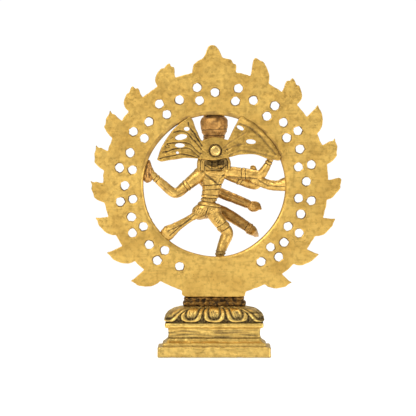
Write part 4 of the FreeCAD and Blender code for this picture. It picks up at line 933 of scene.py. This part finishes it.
torso = Casting(*joined([
    limb([(6.4, -1.7, 7.2, 3.8), (0.4, -1.9, 7.6, 4.4), (-5.4, -1.7, 7.6, 3.8)]),
    limb([(4.6, -1.9, 5.4, 4.2), (3.6, -2.0, 0.6, 3.9), (3.9, -2, -6, 3.8)]),
    limb([(-2.6, -1.8, 5.6, 4.1), (-0.4, -2.0, -0.6, 3.8), (1.6, -2.1, -6.4, 3.7)]),
    limb([(0.6, -2.5, -14.6, 4.6), (5, -2.3, -14.0, 5.0), (9.2, -2.5, -16.2, 4.5)]),
    limb([(3, -2.3, -6.2, 3.8), (3.6, -2.6, -9.6, 4.4), (4.4, -2.8, -12.4, 4.9)]),
    ball(8.8, -1.2, 7.2, 4.2, 3.6, 4.0), ball(-7.0, -1.2, 7.8, 3.6, 3.4, 3.8),
    ball(4.2, -5.0, 4.6, 3.0, 2.0, 2.6),
    ball(-2.6, -5.0, 4.6, 3.0, 2.0, 2.6),
])).melt(0.3)
BACK, FRONT = (0, 1, 0), (0, -1, 0)
torso.band((1.2, -2, 104.3), (0.06, 0, 1), 9, 0.55, -0.4, 1.0)
torso.band((1.8, -2, 101.5), (0.06, 0, 1), 9, 0.5, -0.35, 1.0)
torso.band((2.9, -2, 97.2), (-0.08, 0, 1), 9, 1.5, 0.5)
torso.band((2.8, -2, 98.3), (-0.08, 0, 1), 9, 0.4, -0.2, 1.0)
torso.band((3.3, -2, 95.3), (-0.08, 0, 1), 9, 1.4, 0.55, 0.9, beads=30)
torso.band((3.0, -2, 96.3), (-0.08, 0, 1), 9, 0.4, -0.2, 1.0)
torso.band((3.9, -2, 92.8), (-0.14, 0, 1), 11, 1.7, 0.45)
torso.band((3.7, -2, 94.1), (-0.14, 0, 1), 11, 0.4, -0.25, 1.0)
torso.band((4.1, -2, 91.6), (-0.14, 0, 1), 11, 0.4, -0.3, 1.0)
for face in (BACK, FRONT):
    torso.engrave([[(9, 116.2), (4.5, 113.9), (0, 113.2), (-4.5, 113.8), (-8.6, 115.6)]], 0.6, 0.4, 0.9, face)
    torso.engrave([[(8.4, 114.2), (4.2, 112.1), (0, 111.6), (-4.5, 112.3), (-8, 114)]], 0.8, -0.35, 0.0, face)
    threads = [[(8.2, 113), (3, 109.4), (-2.4, 104.8)], [(7, 111.4), (2, 108), (-3.4, 103.8)]]
    torso.engrave(threads, 0.55, 0.35, 0.9, face)
    torso.engrave([[(7.8, 112.2), (2.6, 108.7), (-2.9, 104.3)]], 0.7, -0.3, 0.0, face)
    torso.engrave([[(5.8, 83.4), (5.0, 86.6), (3.8, 90.6)]], 0.6, 0.4, 0.9, face)
    torso.engrave(strokes_in(-2.6, 12.4, 85.2, 90.4, 26, (0.7, -0.8), 1), 0.4, 0.25, 0.8, face)
    torso.engrave(strokes_in(-6, 8, 105.4, 110.6, 16, (0.9, 0.3), 2), 0.5, 0.18, 0.5, face)
    torso.engrave([[(-6, 110.4), (-3.4, 108.0), (-2.6, 105.6)]], 0.9, 0.3, 0.6, face)
torso.engrave([[(-5.4, 113.6), (-6.8, 112.2), (-6.4, 110.4), (-4.8, 110.2)]], 0.6, 0.35, 0.9)
torso.roughen(2.8, 0.11, 0.3)
install(torso, "torso_cast", figure_brass, "torso")

# ------------------------------------------------------------------------------------------------ arms
# Four arms, brazed on behind the shoulders. The two rear ones hold the drum and the fire out to the ring and
# the two front ones lie across the chest. Each wears an armlet above the elbow; all but the front left one also
# wear a bangle.


def fingers(wrist, reach, spread, size, count=4):
    """Slim fingers side by side from a palm: where the first starts, how they reach, and the step between them."""
    made = []
    for number in range(count):
        root = np.array(wrist, float) + np.array(spread, float) * number
        length = (0.85, 1.0, 0.96, 0.8)[number % 4]
        tip = root + np.array(reach, float) * length
        made.append(limb([(*root, size), (*((root + tip) / 2), size * 0.95), (*tip, size * 0.7)], around=12))
    return made


def dress(casting, spot, axis, width=1.3):
    """An armlet or bangle: a raised band between two dark cuts."""
    axis = np.array(axis, float) / np.linalg.norm(axis)
    reach = 5.5
    casting.band(spot, axis, reach, width, 0.18)
    for way in (-1, 1):
        casting.band(tuple(np.array(spot) + axis * way * (width * 0.5 + 0.45)), axis, reach, 0.42, -0.28, 1.0)


rear_left = Casting(*joined([
    limb([(8.6, -0.8, 6.8, 4.2), (17, 0.2, 0.0, 3.5), (23.8, 1.3, -4.6, 3.1), (31.6, 2.6, 1.0, 2.7),
          (38.0, 3.8, 7.0, 2.2)]),
    ball(39.2, 3.9, 7.8, 2.8, 2.0, 3.0),
    *fingers((37.4, 3.2, 8.6), (0.6, 0.2, 2.6), (0.95, 0.2, 0.0), 0.62),
])).melt(0.28)
dress(rear_left, (16.8, 0.2, 104.0), (0.8, 0, -0.58), 1.5)
dress(rear_left, (35.4, 3.2, 108.2), (0.74, 0.1, 0.66), 1.1)
rear_left.engrave([[(11, 104.6), (17, 100.4), (22.6, 97.6)], [(25.6, 98.6), (33, 105)]], 0.8, 0.25, 0.5)
rear_left.roughen(2.8, 0.12, 0.35)
install(rear_left, "rear_left_arm_cast", figure_brass, "rear_left_arm")

rear_right = Casting(*joined([
    limb([(-8.6, -0.8, 8, 3.8), (-18.4, 0.6, 7.2, 3.5), (-27.2, 1.4, 6.2, 3.3), (-31.2, 1.9, 10.4, 2.5),
          (-34.2, 2.2, 15.8, 2.0)]),
    ball(-34.8, 2.2, 17.4, 1.9, 1.6, 2.2),
    *fingers((-36.4, 1.6, 18.6), (-0.6, 0.0, 2.2), (0.95, 0.0, 0.0), 0.6),
])).melt(0.28)
dress(rear_right, (-17.8, 0.5, 111.4), (1, 0, 0.05), 1.6)
dress(rear_right, (-33.0, 2.1, 118.0), (-0.45, 0, 0.9), 1.1)
rear_right.engrave([[(-8, 109.2), (-18, 108.6), (-26, 108.2)]], 0.8, 0.3, 0.8)
rear_right.roughen(2.8, 0.12, 0.35)
install(rear_right, "rear_right_arm_cast", figure_brass, "rear_right_arm")

front_left = Casting(*joined([
    limb([(7.4, -5.2, 6.8, 2.8), (7.4, -10.4, 2.8, 2.8), (-1.6, -12.8, -3.6, 3.2), (-13, -12.8, -8.4, 3.0),
          (-20.0, -12.7, -11.2, 2.8)]),
    ball(-24.2, -12.6, -13.0, 4.0, 2.1, 3.4),
    *fingers((-26.4, -12.6, -11.4), (-1.3, 0.0, -0.6), (-0.35, 0.0, -1.2), 1.3, 3),
])).melt(0.28)
dress(front_left, (2.0, -12.2, 103.0), (0.8, 0.3, 0.5), 1.3)
front_left.engrave([[(-4, 99.4), (-18, 93.6)]], 0.9, 0.25, 0.4)
front_left.roughen(3.0, 0.16, 0.35)
install(front_left, "front_left_arm_cast", shaded_figure_brass, "front_left_arm")

front_right = Casting(*joined([
    limb([(-8.2, -4.6, 6.6, 3.2), (-16.6, -6.8, 3.0, 3.1), (-25.2, -9.4, 0.8, 3.4), (-25.6, -12.6, 5.0, 2.2),
          (-24.2, -13.3, 7.6, 1.6)]),
    ball(-24.0, -13.4, 9.2, 2.3, 1.3, 2.0),
    *fingers((-25.4, -13.4, 9.8), (0.5, 0.0, 2.2), (0.85, 0.0, 0.0), 0.6),
])).melt(0.28)
dress(front_right, (-15.2, -6.4, 107.2), (0.88, 0.25, 0.4), 1.4)
dress(front_right, (-24.8, -12.9, 110.6), (0, -0.2, 1), 1.0)
front_right.roughen(2.8, 0.12, 0.35)
install(front_right, "front_right_arm_cast", figure_brass, "front_right_arm")

# ------------------------------------------------------------------------------------------------ sashes
# The hip sash and the elbow tie are small brass castings with their folds chased in. They fly out to the ring
# and are brazed to it, so that they brace the thin figure.

sash = Casting(*joined([
    limb([(9, -0.4, -16.6, 2.6), (15.6, 2.2, -20.6, 2.2), (22.6, 4.8, -25.0, 3.0), (28.6, 5.0, -29.4, 4.4)],
         flatten=0.6),
    limb([(21, 4.4, -23.4, 1.6), (29.0, 5.2, -26.4, 2.0)], flatten=0.8),
])).melt(0.28)
sash.engrave([[(12, 86.2), (19, 80.6), (28, 76.4)], [(14, 83.6), (21, 79.0), (27, 73.6)]], 0.6, 0.35, 0.9)
sash.engrave([[(12, 86.2), (19, 80.6), (28, 76.4)]], 0.6, 0.35, 0.9, FRONT)
sash.roughen(2.0, 0.16, 0.3)
install(sash, "hip_sash_cast", figure_brass, "hip_sash")

tie = Casting(*joined([
    limb([(-24.4, 1.4, 4.2, 3.2), (-32.4, 2.8, 0.8, 3.1), (-38.6, 4.0, 0.0, 3.3), (-43.6, 4.4, 0.8, 4.4)],
         flatten=0.62),
])).melt(0.28)
tie.engrave([[(-27, 107.4), (-33, 103.9), (-43, 103.4)]], 0.6, 0.35, 0.8)
tie.roughen(2.0, 0.18, 0.35)
install(tie, "elbow_tie_cast", figure_brass, "elbow_tie")

# ------------------------------------------------------------------------------------------------ head
# Head, neck and the hair that falls on the shoulders. The face is calm and plain, with downcast eyes and heavy
# earrings; the back is a rough bed for the hair fan.

head = Casting(*joined([
    ball(-0.6, -1.2, 22.4, 5.6, 5.8, 5.9),
    limb([(-0.6, -2.2, 20.4, 4.6), (-0.6, -2.8, 17.6, 3.9)]),
    limb([(0, -1.6, 8.6, 3.3), (-0.3, -1.5, 13, 3.0), (-0.6, -1.4, 18, 3.2)]),
    limb([(8.8, 1, 9, 1.7), (8.6, 1.3, 15.2, 1.7), (3.4, 0.8, 20.6, 2.4)]),
    limb([(-8.4, 1, 9.4, 1.6), (-8.3, 1.2, 14.8, 1.6), (-4.4, 0.8, 20.2, 2.2)]),
    limb([(6.2, 1.2, 9.6, 1.3), (6.0, 1.6, 15.4, 1.5), (2.4, 1.2, 19.6, 2.0)]),
    limb([(-5.6, 1.2, 10, 1.3), (-5.6, 1.6, 15.2, 1.4), (-3, 1.2, 19.2, 1.8)]),
    ball(0.4, 0.2, 14.0, 8.8, 2.0, 6.4),
    limb([(-4.4, 1.6, 12.4, 0.9), (0.2, 2.2, 10.6, 1.0), (4.8, 1.6, 12.4, 0.9)]),
    limb([(-3.4, 1.9, 14.6, 0.8), (0.2, 2.3, 13.2, 0.9), (3.8, 1.9, 14.6, 0.8)]),
    ball(-0.6, -7.0, 19.9, 0.95, 1.0, 0.6), limb([(-0.6, -6.2, 22.8, 0.45), (-0.6, -7.2, 20.2, 0.6)], around=12),
    ball(-2.5, -6.1, 21.7, 1.25, 0.8, 0.6), ball(1.3, -6.1, 21.7, 1.25, 0.8, 0.6),
    limb([(-4.2, -5.2, 23.0, 0.35), (-2.5, -6.3, 23.5, 0.4), (-1.0, -6.5, 23.0, 0.3)], around=12),
    limb([(3.0, -5.2, 23.0, 0.35), (1.3, -6.3, 23.5, 0.4), (-0.2, -6.5, 23.0, 0.3)], around=12),
    ball(-0.6, -6.5, 18.1, 1.35, 0.7, 0.32), ball(-0.6, -6.5, 17.4, 1.1, 0.7, 0.36),
    ball(-0.6, -5.9, 15.7, 1.3, 1.0, 0.9),
    limb([(-6.0, -1.6, 23.2, 0.8), (-6.3, -1.4, 19.6, 0.7), (-6.4, -1.6, 16.4, 1.3)]),
    limb([(4.8, -1.6, 23.2, 0.8), (5.1, -1.4, 19.6, 0.7), (5.2, -1.6, 16.4, 1.3)]),
])).melt(0.26, 2)
head.band((-0.6, -1.4, 129.0), (0, 0.15, 1), 8, 1.2, 0.45, 0.6, beads=28)
head.engrave([[(5.8, 116.6), (2.6, 114.4), (-1, 113.7), (-4.6, 114.4), (-7.4, 116.4)]], 0.7, 0.35, 1.0)
head.engrave([[(8.4, 112.6), (8.4, 119), (4, 124)], [(-8, 113), (-8, 119), (-4.6, 124)], [(6, 113), (5.6, 119)],
              [(-5.4, 113.4), (-5.4, 119)], [(1.6, 113), (1.4, 119)], [(-2.4, 113), (-2.2, 119)]], 0.55, 0.4, 1.0)
head.engrave([[(-3.9, 125.5), (-2.5, 125.3), (-1.3, 125.6)], [(2.7, 125.5), (1.3, 125.3), (0.1, 125.6)],
              [(-2.0, 121.75), (0.8, 121.75)]], 0.3, 0.16, 0.9, FRONT)
# The back of the head and neck is darkened, most in the middle above the neck, as a painted shadow of the hair
# fan.
fan_shadow = np.exp(-(((head.points[:, 0] / MM + 1.2) / 6.8) ** 6)) * np.clip(head.points[:, 2] / MM - 115.8, 0.0, 1.0)
head.soot_and_shade = np.clip(head.soot_and_shade + (0.1 + 0.75 * fan_shadow) * (head.points[:, 1] > 0.0), 0.0, 1.0)
head.roughen(1.8, 0.1, 0.25)
install(head, "head_and_hair", figure_brass, "head")

# ------------------------------------------------------------------------------------------------ crown
# A tall pot-shaped headdress, cast in brass on its own and set on the head. It has a flared foot, a round belly
# and dark cut lines.


def turned(profile, middle, upright=True, steps=72, spacing=0.35):
    """A turned shape from its profile of (radius, height), standing up or pointing out of the back."""
    points, faces, rows = [], [], []
    for run in profile:
        rows += flowing(run, spacing)[1 if rows else 0:]
    for radius, height in rows:
        for turn in (2 * math.pi * k / steps for k in range(steps)):
            across, along = radius * math.cos(turn), radius * math.sin(turn)
            spot = (across, along, height) if upright else (-across, height, along)
            points.append(tuple(np.add(spot, middle) * MM))
    for row in range(len(rows) - 1):
        for k in range(steps):
            a, b = row * steps + k, row * steps + (k + 1) % steps
            faces.append((a, b, b + steps, a + steps))
    faces.append(tuple(reversed(range(steps))))
    faces.append(tuple((len(rows) - 1) * steps + k for k in range(steps)))
    return points, faces


crown_brass = brass("crown_brass", (214, 166, 96), (164, 120, 66), (46, 28, 10),
                    blotch=5.0, worn=0.9, shine=0.52, pitted=1.0)
crown = Casting(*turned([
    [(0.6, 27.0), (6.2, 27.0)],
    [(6.2, 27.0), (6.7, 27.4), (6.5, 28.2)],
    [(6.5, 28.2), (6.1, 28.5), (6.4, 28.9)],
    [(6.4, 28.9), (6.7, 30.6), (7.3, 32.6), (8.2, 34.8), (8.4, 37.4), (8.2, 39.8), (7.5, 41.4)],
    [(7.3, 41.4), (6.7, 41.9), (6.5, 42.4)],
    [(6.5, 42.4), (5.5, 44.6), (4.3, 46.2), (2.9, 48.2), (2.0, 49.4), (0.5, 50.2)],
], (0.1, -2.2, FIGURE_Z)))
crown.band((0.1, -2.2, 134.6), (0, 0, 1), 12, 0.5, -0.35, 1.0)
crown.band((0.1, -2.2, 136.6), (0.05, 0, 1), 12, 1.2, 0.3, 0.6, beads=34)
crown.band((0.1, -2.2, 138.2), (0.05, 0, 1), 12, 0.45, -0.3, 0.9)
crown.engrave([[(-6.8, 145.4), (-3.4, 146.8), (0, 147.2), (3.6, 146.6), (7, 145.2)]], 0.6, 0.35, 1.0)
crown.engrave([[(0.1, 139.4), (-2.4, 142.4), (0.1, 145.6), (2.6, 142.4), (0.1, 139.4)]], 0.6, 0.35, 1.0, FRONT)
crown.engrave(strokes_in(-6, 6, 139.2, 144.6, 18, (0.1, 1.0), 3), 0.45, 0.22, 0.7, FRONT)
crown.roughen(3.0, 0.34, 0.7)
install(crown, "pot_crown", crown_brass, "crown")

# ------------------------------------------------------------------------------------------------ hair fan
# The dancer's flying hair, cast as one flat fan and riveted behind the head. It bridges the opening from side to
# side; flowing strands are cut into its face and small gaps are pierced between them.

FAN_BACK, FAN_FACE = 8.4, 6.2
FAN_EDGE = [
    [(-0.2, 15.4), (5.6, 15.8), (11, 16.6), (17, 16.9), (22, 16.2), (28, 15.3), (32.4, 14.6)],
    [(32.4, 14.6), (34.9, 15.8)],
    [(34.9, 15.8), (31.9, 23.9), (26.8, 32), (21.6, 37.5), (15.6, 41.9)],
    [(15.6, 41.9), (14.8, 42.2), (13.2, 40.2)],
    [(13.2, 40.2), (10.6, 33.2), (7.7, 27.4)],
    [(7.7, 27.4), (-0.4, 29.6), (-8.4, 27.8)],
    [(-8.4, 27.8), (-11.6, 34.4), (-15, 40.8)],
    [(-15, 40.8), (-16.2, 42), (-18.2, 41.8)],
    [(-18.2, 41.8), (-25.2, 37.2), (-31.2, 31), (-36.4, 24.8), (-40.4, 18)],
    [(-40.4, 18), (-40.2, 15.6), (-38.4, 15.2)],
    [(-38.4, 15.2), (-31.9, 16.6), (-26.6, 18.6), (-21.4, 19.2), (-15.6, 18.8), (-10, 17.4)],
    [(-10, 17.4), (-0.2, 15.4)],
]
# x, z, half length, half width, tilt
FAN_GAPS = [
    (16.8, 34.5, 1.7, 1.2, 0), (20.2, 29.6, 3.7, 1.7, -10), (20.9, 24.5, 3.0, 1.3, 0), (22.4, 20.1, 1.1, 0.8, 0),
    (-15.9, 35.2, 2.4, 1.1, 28), (-22.4, 26.8, 3.0, 1.4, 6),
]
fan_line = []
for run in FAN_EDGE:
    fan_line += [tuple(p) for p in flowing(run, 0.8)[:-1]]
fan_loops = [fan_line]
for x, z, half_length, half_width, tilt in FAN_GAPS:
    cos, sin = math.cos(math.radians(tilt)), math.sin(math.radians(tilt))
    gap = []
    for turn in (-2 * math.pi * k / 28 for k in range(28)):
        along, across = half_length * math.cos(turn), half_width * math.sin(turn)
        gap.append((x + along * cos - across * sin, z + along * sin + across * cos))
    fan_loops.append(gap)
fan_soft = ([(0.5, 0.0), (0.15, 0.12), (0.0, 0.5)], [(0.0, 0.5), (0.15, 0.12), (0.5, 0.0)])
gap_soft = ([(0.3, 0.0), (0.0, 0.3)], [(0.0, 0.3), (0.3, 0.0)])
fan_edges = [fan_soft] + [gap_soft] * len(FAN_GAPS)
fan = Casting(*plate(fan_loops, fan_edges, FAN_BACK, FAN_FACE, (0.0, FIGURE_Z))).melt(0.27, 2)

LEFT_STRANDS = [
    [(8.1, 123.3), (11.7, 126.2), (14.4, 129.2), (18.3, 130.2), (23.6, 130.2), (28.6, 129.5)],
    [(9.1, 121.6), (12.4, 124.3), (15, 126.6), (19.7, 126.9), (24.9, 126.2), (28.2, 124.9), (31.2, 124.4)],
    [(10.4, 121), (14.4, 122.3), (19.7, 123.3), (24.9, 122.3), (30.2, 121.3), (33.4, 120.4)],
    [(7.8, 126.2), (11.1, 130.2), (13.7, 132.8), (16.4, 136.1), (20.4, 137.4), (24.6, 136.4)],
    [(7.4, 128.2), (10.4, 132.8), (13, 136.8), (15.4, 140.1), (15.7, 142.7)],
]
RIGHT_FOLDS = [
    [(-6, 127), (-9.4, 130.4), (-13, 132.5), (-19, 136.5)],
    [(-7, 125.5), (-11, 127.6), (-15, 128.8), (-19, 129.8)],
    [(-9.5, 122.6), (-16, 125.2), (-22, 125), (-29, 123.4), (-36.5, 121.8)],
]
OUTER_RIB = [[(-17.1, 145.3), (-23.6, 141.0), (-30.2, 135.0), (-35.6, 128.6), (-39.6, 121.6)]]
RIB_GROOVE = [[(-15.5, 141.8), (-21.5, 139.5), (-27.5, 134.5), (-33, 128.5), (-37.5, 123)]]
HUB = (-0.7, 125.3)
wing = fan.points[:, 0] / MM
hammered = np.array([noise.noise(Vector((p[0] / 0.0042, 0.0, p[2] / 0.003))) for p in fan.points])
fan.raise_by(0.16 * hammered, np.clip(-hammered * 0.5, 0.0, 0.3) * (wing < 0))
fan.settle()
for face in (BACK, FRONT):
    fan.engrave([[tuple(p) for p in flowing(strand, 0.8)] for strand in LEFT_STRANDS], 0.8, 0.45, 1.0, face)
    fan.settle()
    ridges = [[(x + 0.9, z + 0.95) for x, z in flowing(strand, 0.8)] for strand in LEFT_STRANDS[:4]]
    fan.engrave(ridges, 1.1, -0.22, 0.0, face)
    fan.engrave([[tuple(p) for p in flowing(fold, 0.8)] for fold in RIGHT_FOLDS], 1.3, 0.36, 0.4, face)
    fan.engrave([[tuple(p) for p in flowing(rib, 0.8)] for rib in RIB_GROOVE], 1.2, 0.4, 0.55, face)
    fan.settle()
    fan.engrave([[tuple(p) for p in flowing(rib, 0.8)] for rib in OUTER_RIB], 2.0, -0.5, 0.0, face)
small_curl = [(27.2, 128.4), (28.8, 129.0), (29.8, 128.0), (28.6, 127.0), (27.2, 127.4)]
fan.engrave([small_curl, [(25, 133.4), (26.6, 132.6)]], 0.5, 0.35, 0.8)
fan.engrave(strokes_in(9, 14.4, 130, 137, 26, (0.5, 0.9), 4), 0.35, 0.2, 0.8)
fan.engrave(strokes_in(-9, -4, 121, 126.4, 10, (0.9, 0.2), 5), 0.4, 0.2, 0.6)
fan.engrave(strokes_in(4, 10, 120.6, 126, 12, (0.9, 0.4), 6), 0.4, 0.2, 0.6)
from_hub = np.hypot(fan.points[:, 0] / MM - HUB[0], fan.points[:, 2] / MM - HUB[1])
seat = np.exp(-(((from_hub - 3.7) / 0.55) ** 2)) * (fan.facing[:, 1] > 0.3)
fan.raise_by(-0.35 * seat, 1.0 * seat)
# The fan is darkened over its upper middle.
near_middle = np.clip((14.0 - np.abs(wing - 4.0)) / 14.0, 0.0, 1.0)
high_up = np.clip((fan.points[:, 2] / MM - 126.0) / 8.0, 0.0, 1.0)
fan.soot_and_shade = np.clip(fan.soot_and_shade + 0.3 * (near_middle * high_up), 0.0, 1.0)
fan.roughen(1.2, 0.07, 0.25)
fan_brass = brass("fan_brass", (204, 165, 84), (142, 108, 50), (36, 24, 9),
                  blotch=7.0, worn=0.6, shine=0.34, crevice=0.7)
install(fan, "hair_fan_plate", fan_brass, "hair_fan")

# ------------------------------------------------------------------------------------------------ rivet
# A turned brass rivet goes through the middle of the fan into the back of the head. Its rim is bevelled, and
# its face is rubbed bright.

rivet = Casting(*turned([
    [(0.2, 0.0), (2.0, 0.0)],
    [(2.0, 0.0), (3.05, 0.05)],
    [(3.05, 0.05), (3.1, 0.6), (3.0, 0.95), (2.7, 1.25)],
    [(2.7, 1.25), (2.35, 1.3), (2.2, 1.15)],
    [(2.2, 1.15), (1.4, 1.3), (0.2, 1.4)],
], (HUB[0], FAN_BACK, HUB[1]), upright=False, spacing=0.15))
rivet.engrave([[(-2.1, 124.4), (0.6, 126.3)]], 0.3, 0.08, 0.5)
rivet.roughen(1.4, 0.05, 0.2)
rivet_brass = brass("rivet_brass", (238, 204, 124), (196, 156, 86), (58, 38, 16), blotch=3.0, worn=0.5, shine=0.22)
install(rivet, "hair_rivet_head", rivet_brass, "hair_rivet")

# ------------------------------------------------------------------------------------------------ drum and fire
# The drum and the tongue of fire in the rear hands are small brass castings, brazed on. Both stand close to the
# ring.

drum_low, drum_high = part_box("drum")
DRUM_AT = tuple((drum_low + drum_high) / 2 / MM)
drum = Casting(*turned([
    [(0.2, -2.9), (2.1, -2.85)],
    [(2.1, -2.85), (2.5, -2.6), (2.4, -2.1)],
    [(2.4, -2.1), (1.6, -1.1), (1.25, -0.4)],
    [(1.25, -0.4), (1.6, 0.0), (1.25, 0.4)],
    [(1.25, 0.4), (1.6, 1.1), (2.4, 2.1)],
    [(2.4, 2.1), (2.5, 2.6), (2.1, 2.85)],
    [(2.1, 2.85), (0.2, 2.9)],
], DRUM_AT, spacing=0.2, steps=48))
drum.roughen(1.0, 0.07, 0.3)
install(drum, "hourglass_drum", shaded_figure_brass, "drum")

fire = Casting(*joined([
    limb([(40.6, 4, 4.8, 3.0), (40.2, 4.2, 10.2, 2.6), (39.8, 4.5, 14.8, 0.9)]),
    limb([(42.3, 4, 5.4, 1.2), (42.6, 4.2, 9.4, 0.9), (41.8, 4.5, 12.4, 0.4)]),
    limb([(39.4, 4, 5.4, 1.2), (38.8, 4.2, 9.2, 0.9), (39.2, 4.5, 12.0, 0.4)]),
])).melt(0.28, 2)
fire.engrave([[(41.4, 109), (41.8, 113), (40.8, 116)], [(39.6, 109), (39.6, 113), (39.8, 116)]], 0.5, 0.35, 0.9)
fire.roughen(1.2, 0.3, 0.6)
install(fire, "palm_flame_cast", crown_brass, "palm_flame")

# ------------------------------------------------------------------------------------------------ light and floor
# A white sweep under the statue, one big soft lamp high on the left of the back view, a weaker one on the right
# and a bright room.


def soft_lamp(name, place, aim, size, power, warmth):
    """A square soft lamp, in metres and watts."""
    lamp = bpy.data.lights.new(name, "AREA")
    lamp.size, lamp.energy, lamp.color = size, power, warmth
    made = bpy.data.objects.new(name, lamp)
    made.location = place
    made.rotation_euler = (Vector(aim) - Vector(place)).to_track_quat("-Z", "Y").to_euler()
    bpy.context.scene.collection.objects.link(made)


soft_lamp("key_lamp", (0.55, 0.75, 0.62), (0, 0, 0.09), 0.55, 5.6, (1.0, 0.98, 0.95))
soft_lamp("fill_lamp", (-0.75, 0.55, 0.25), (0, 0, 0.09), 0.5, 2.2, (0.97, 0.98, 1.0))
soft_lamp("top_lamp", (0.0, -0.15, 0.9), (0, 0, 0.09), 0.6, 4.0, (1.0, 1.0, 1.0))

room = bpy.data.worlds.new("room")
room.use_nodes = True
bpy.context.scene.world = room
room_nodes, room_links = room.node_tree.nodes, room.node_tree.links
path = room_nodes.new("ShaderNodeLightPath")
direction = room_nodes.new("ShaderNodeTexCoord")
split = room_nodes.new("ShaderNodeSeparateXYZ")
room_links.new(direction.outputs["Generated"], split.inputs["Vector"])
ramp = room_nodes.new("ShaderNodeValToRGB")
ramp.color_ramp.elements[0].position, ramp.color_ramp.elements[0].color = 0.0, (0.22, 0.21, 0.2, 1)
ramp.color_ramp.elements[1].position, ramp.color_ramp.elements[1].color = 1.0, (0.76, 0.76, 0.76, 1)
middle_stop = ramp.color_ramp.elements.new(0.5)
middle_stop.color = (0.39, 0.385, 0.38, 1)
lift = room_nodes.new("ShaderNodeMapRange")
lift.inputs["From Min"].default_value = -1.0
room_links.new(split.outputs["Z"], lift.inputs["Value"])
room_links.new(lift.outputs["Result"], ramp.inputs["Fac"])
bounce = room_nodes["Background"]
room_links.new(ramp.outputs["Color"], bounce.inputs["Color"])
white = room_nodes.new("ShaderNodeBackground")
white.inputs["Color"].default_value = (1.0, 1.0, 1.0, 1.0)
white.inputs["Strength"].default_value = 1.05
choice = room_nodes.new("ShaderNodeMixShader")
room_links.new(path.outputs["Is Camera Ray"], choice.inputs["Fac"])
room_links.new(bounce.outputs["Background"], choice.inputs[1])
room_links.new(white.outputs["Background"], choice.inputs[2])
room_links.new(choice.outputs["Shader"], room_nodes["World Output"].inputs["Surface"])

floor_mesh = bpy.data.meshes.new("floor")
reach = 3.0  # metres
floor_corners = [(-reach, -reach, 0), (reach, -reach, 0), (reach, reach, 0), (-reach, reach, 0)]
floor_mesh.from_pydata(floor_corners, [], [(0, 1, 2, 3)])
floor_paint = bpy.data.materials.new("white_sweep")
floor_paint.use_nodes = True
paint = floor_paint.node_tree.nodes["Principled BSDF"]
paint.inputs["Base Color"].default_value = (0.9, 0.9, 0.9, 1.0)
paint.inputs["Roughness"].default_value = 0.16
paint.inputs["Emission Color"].default_value = (1.0, 0.99, 0.985, 1.0)
paint.inputs["Emission Strength"].default_value = 0.56
floor_mesh.materials.append(floor_paint)
floor = bpy.data.objects.new("floor", floor_mesh)
bpy.context.scene.collection.objects.link(floor)

bpy.context.scene.view_settings.view_transform = "Standard"
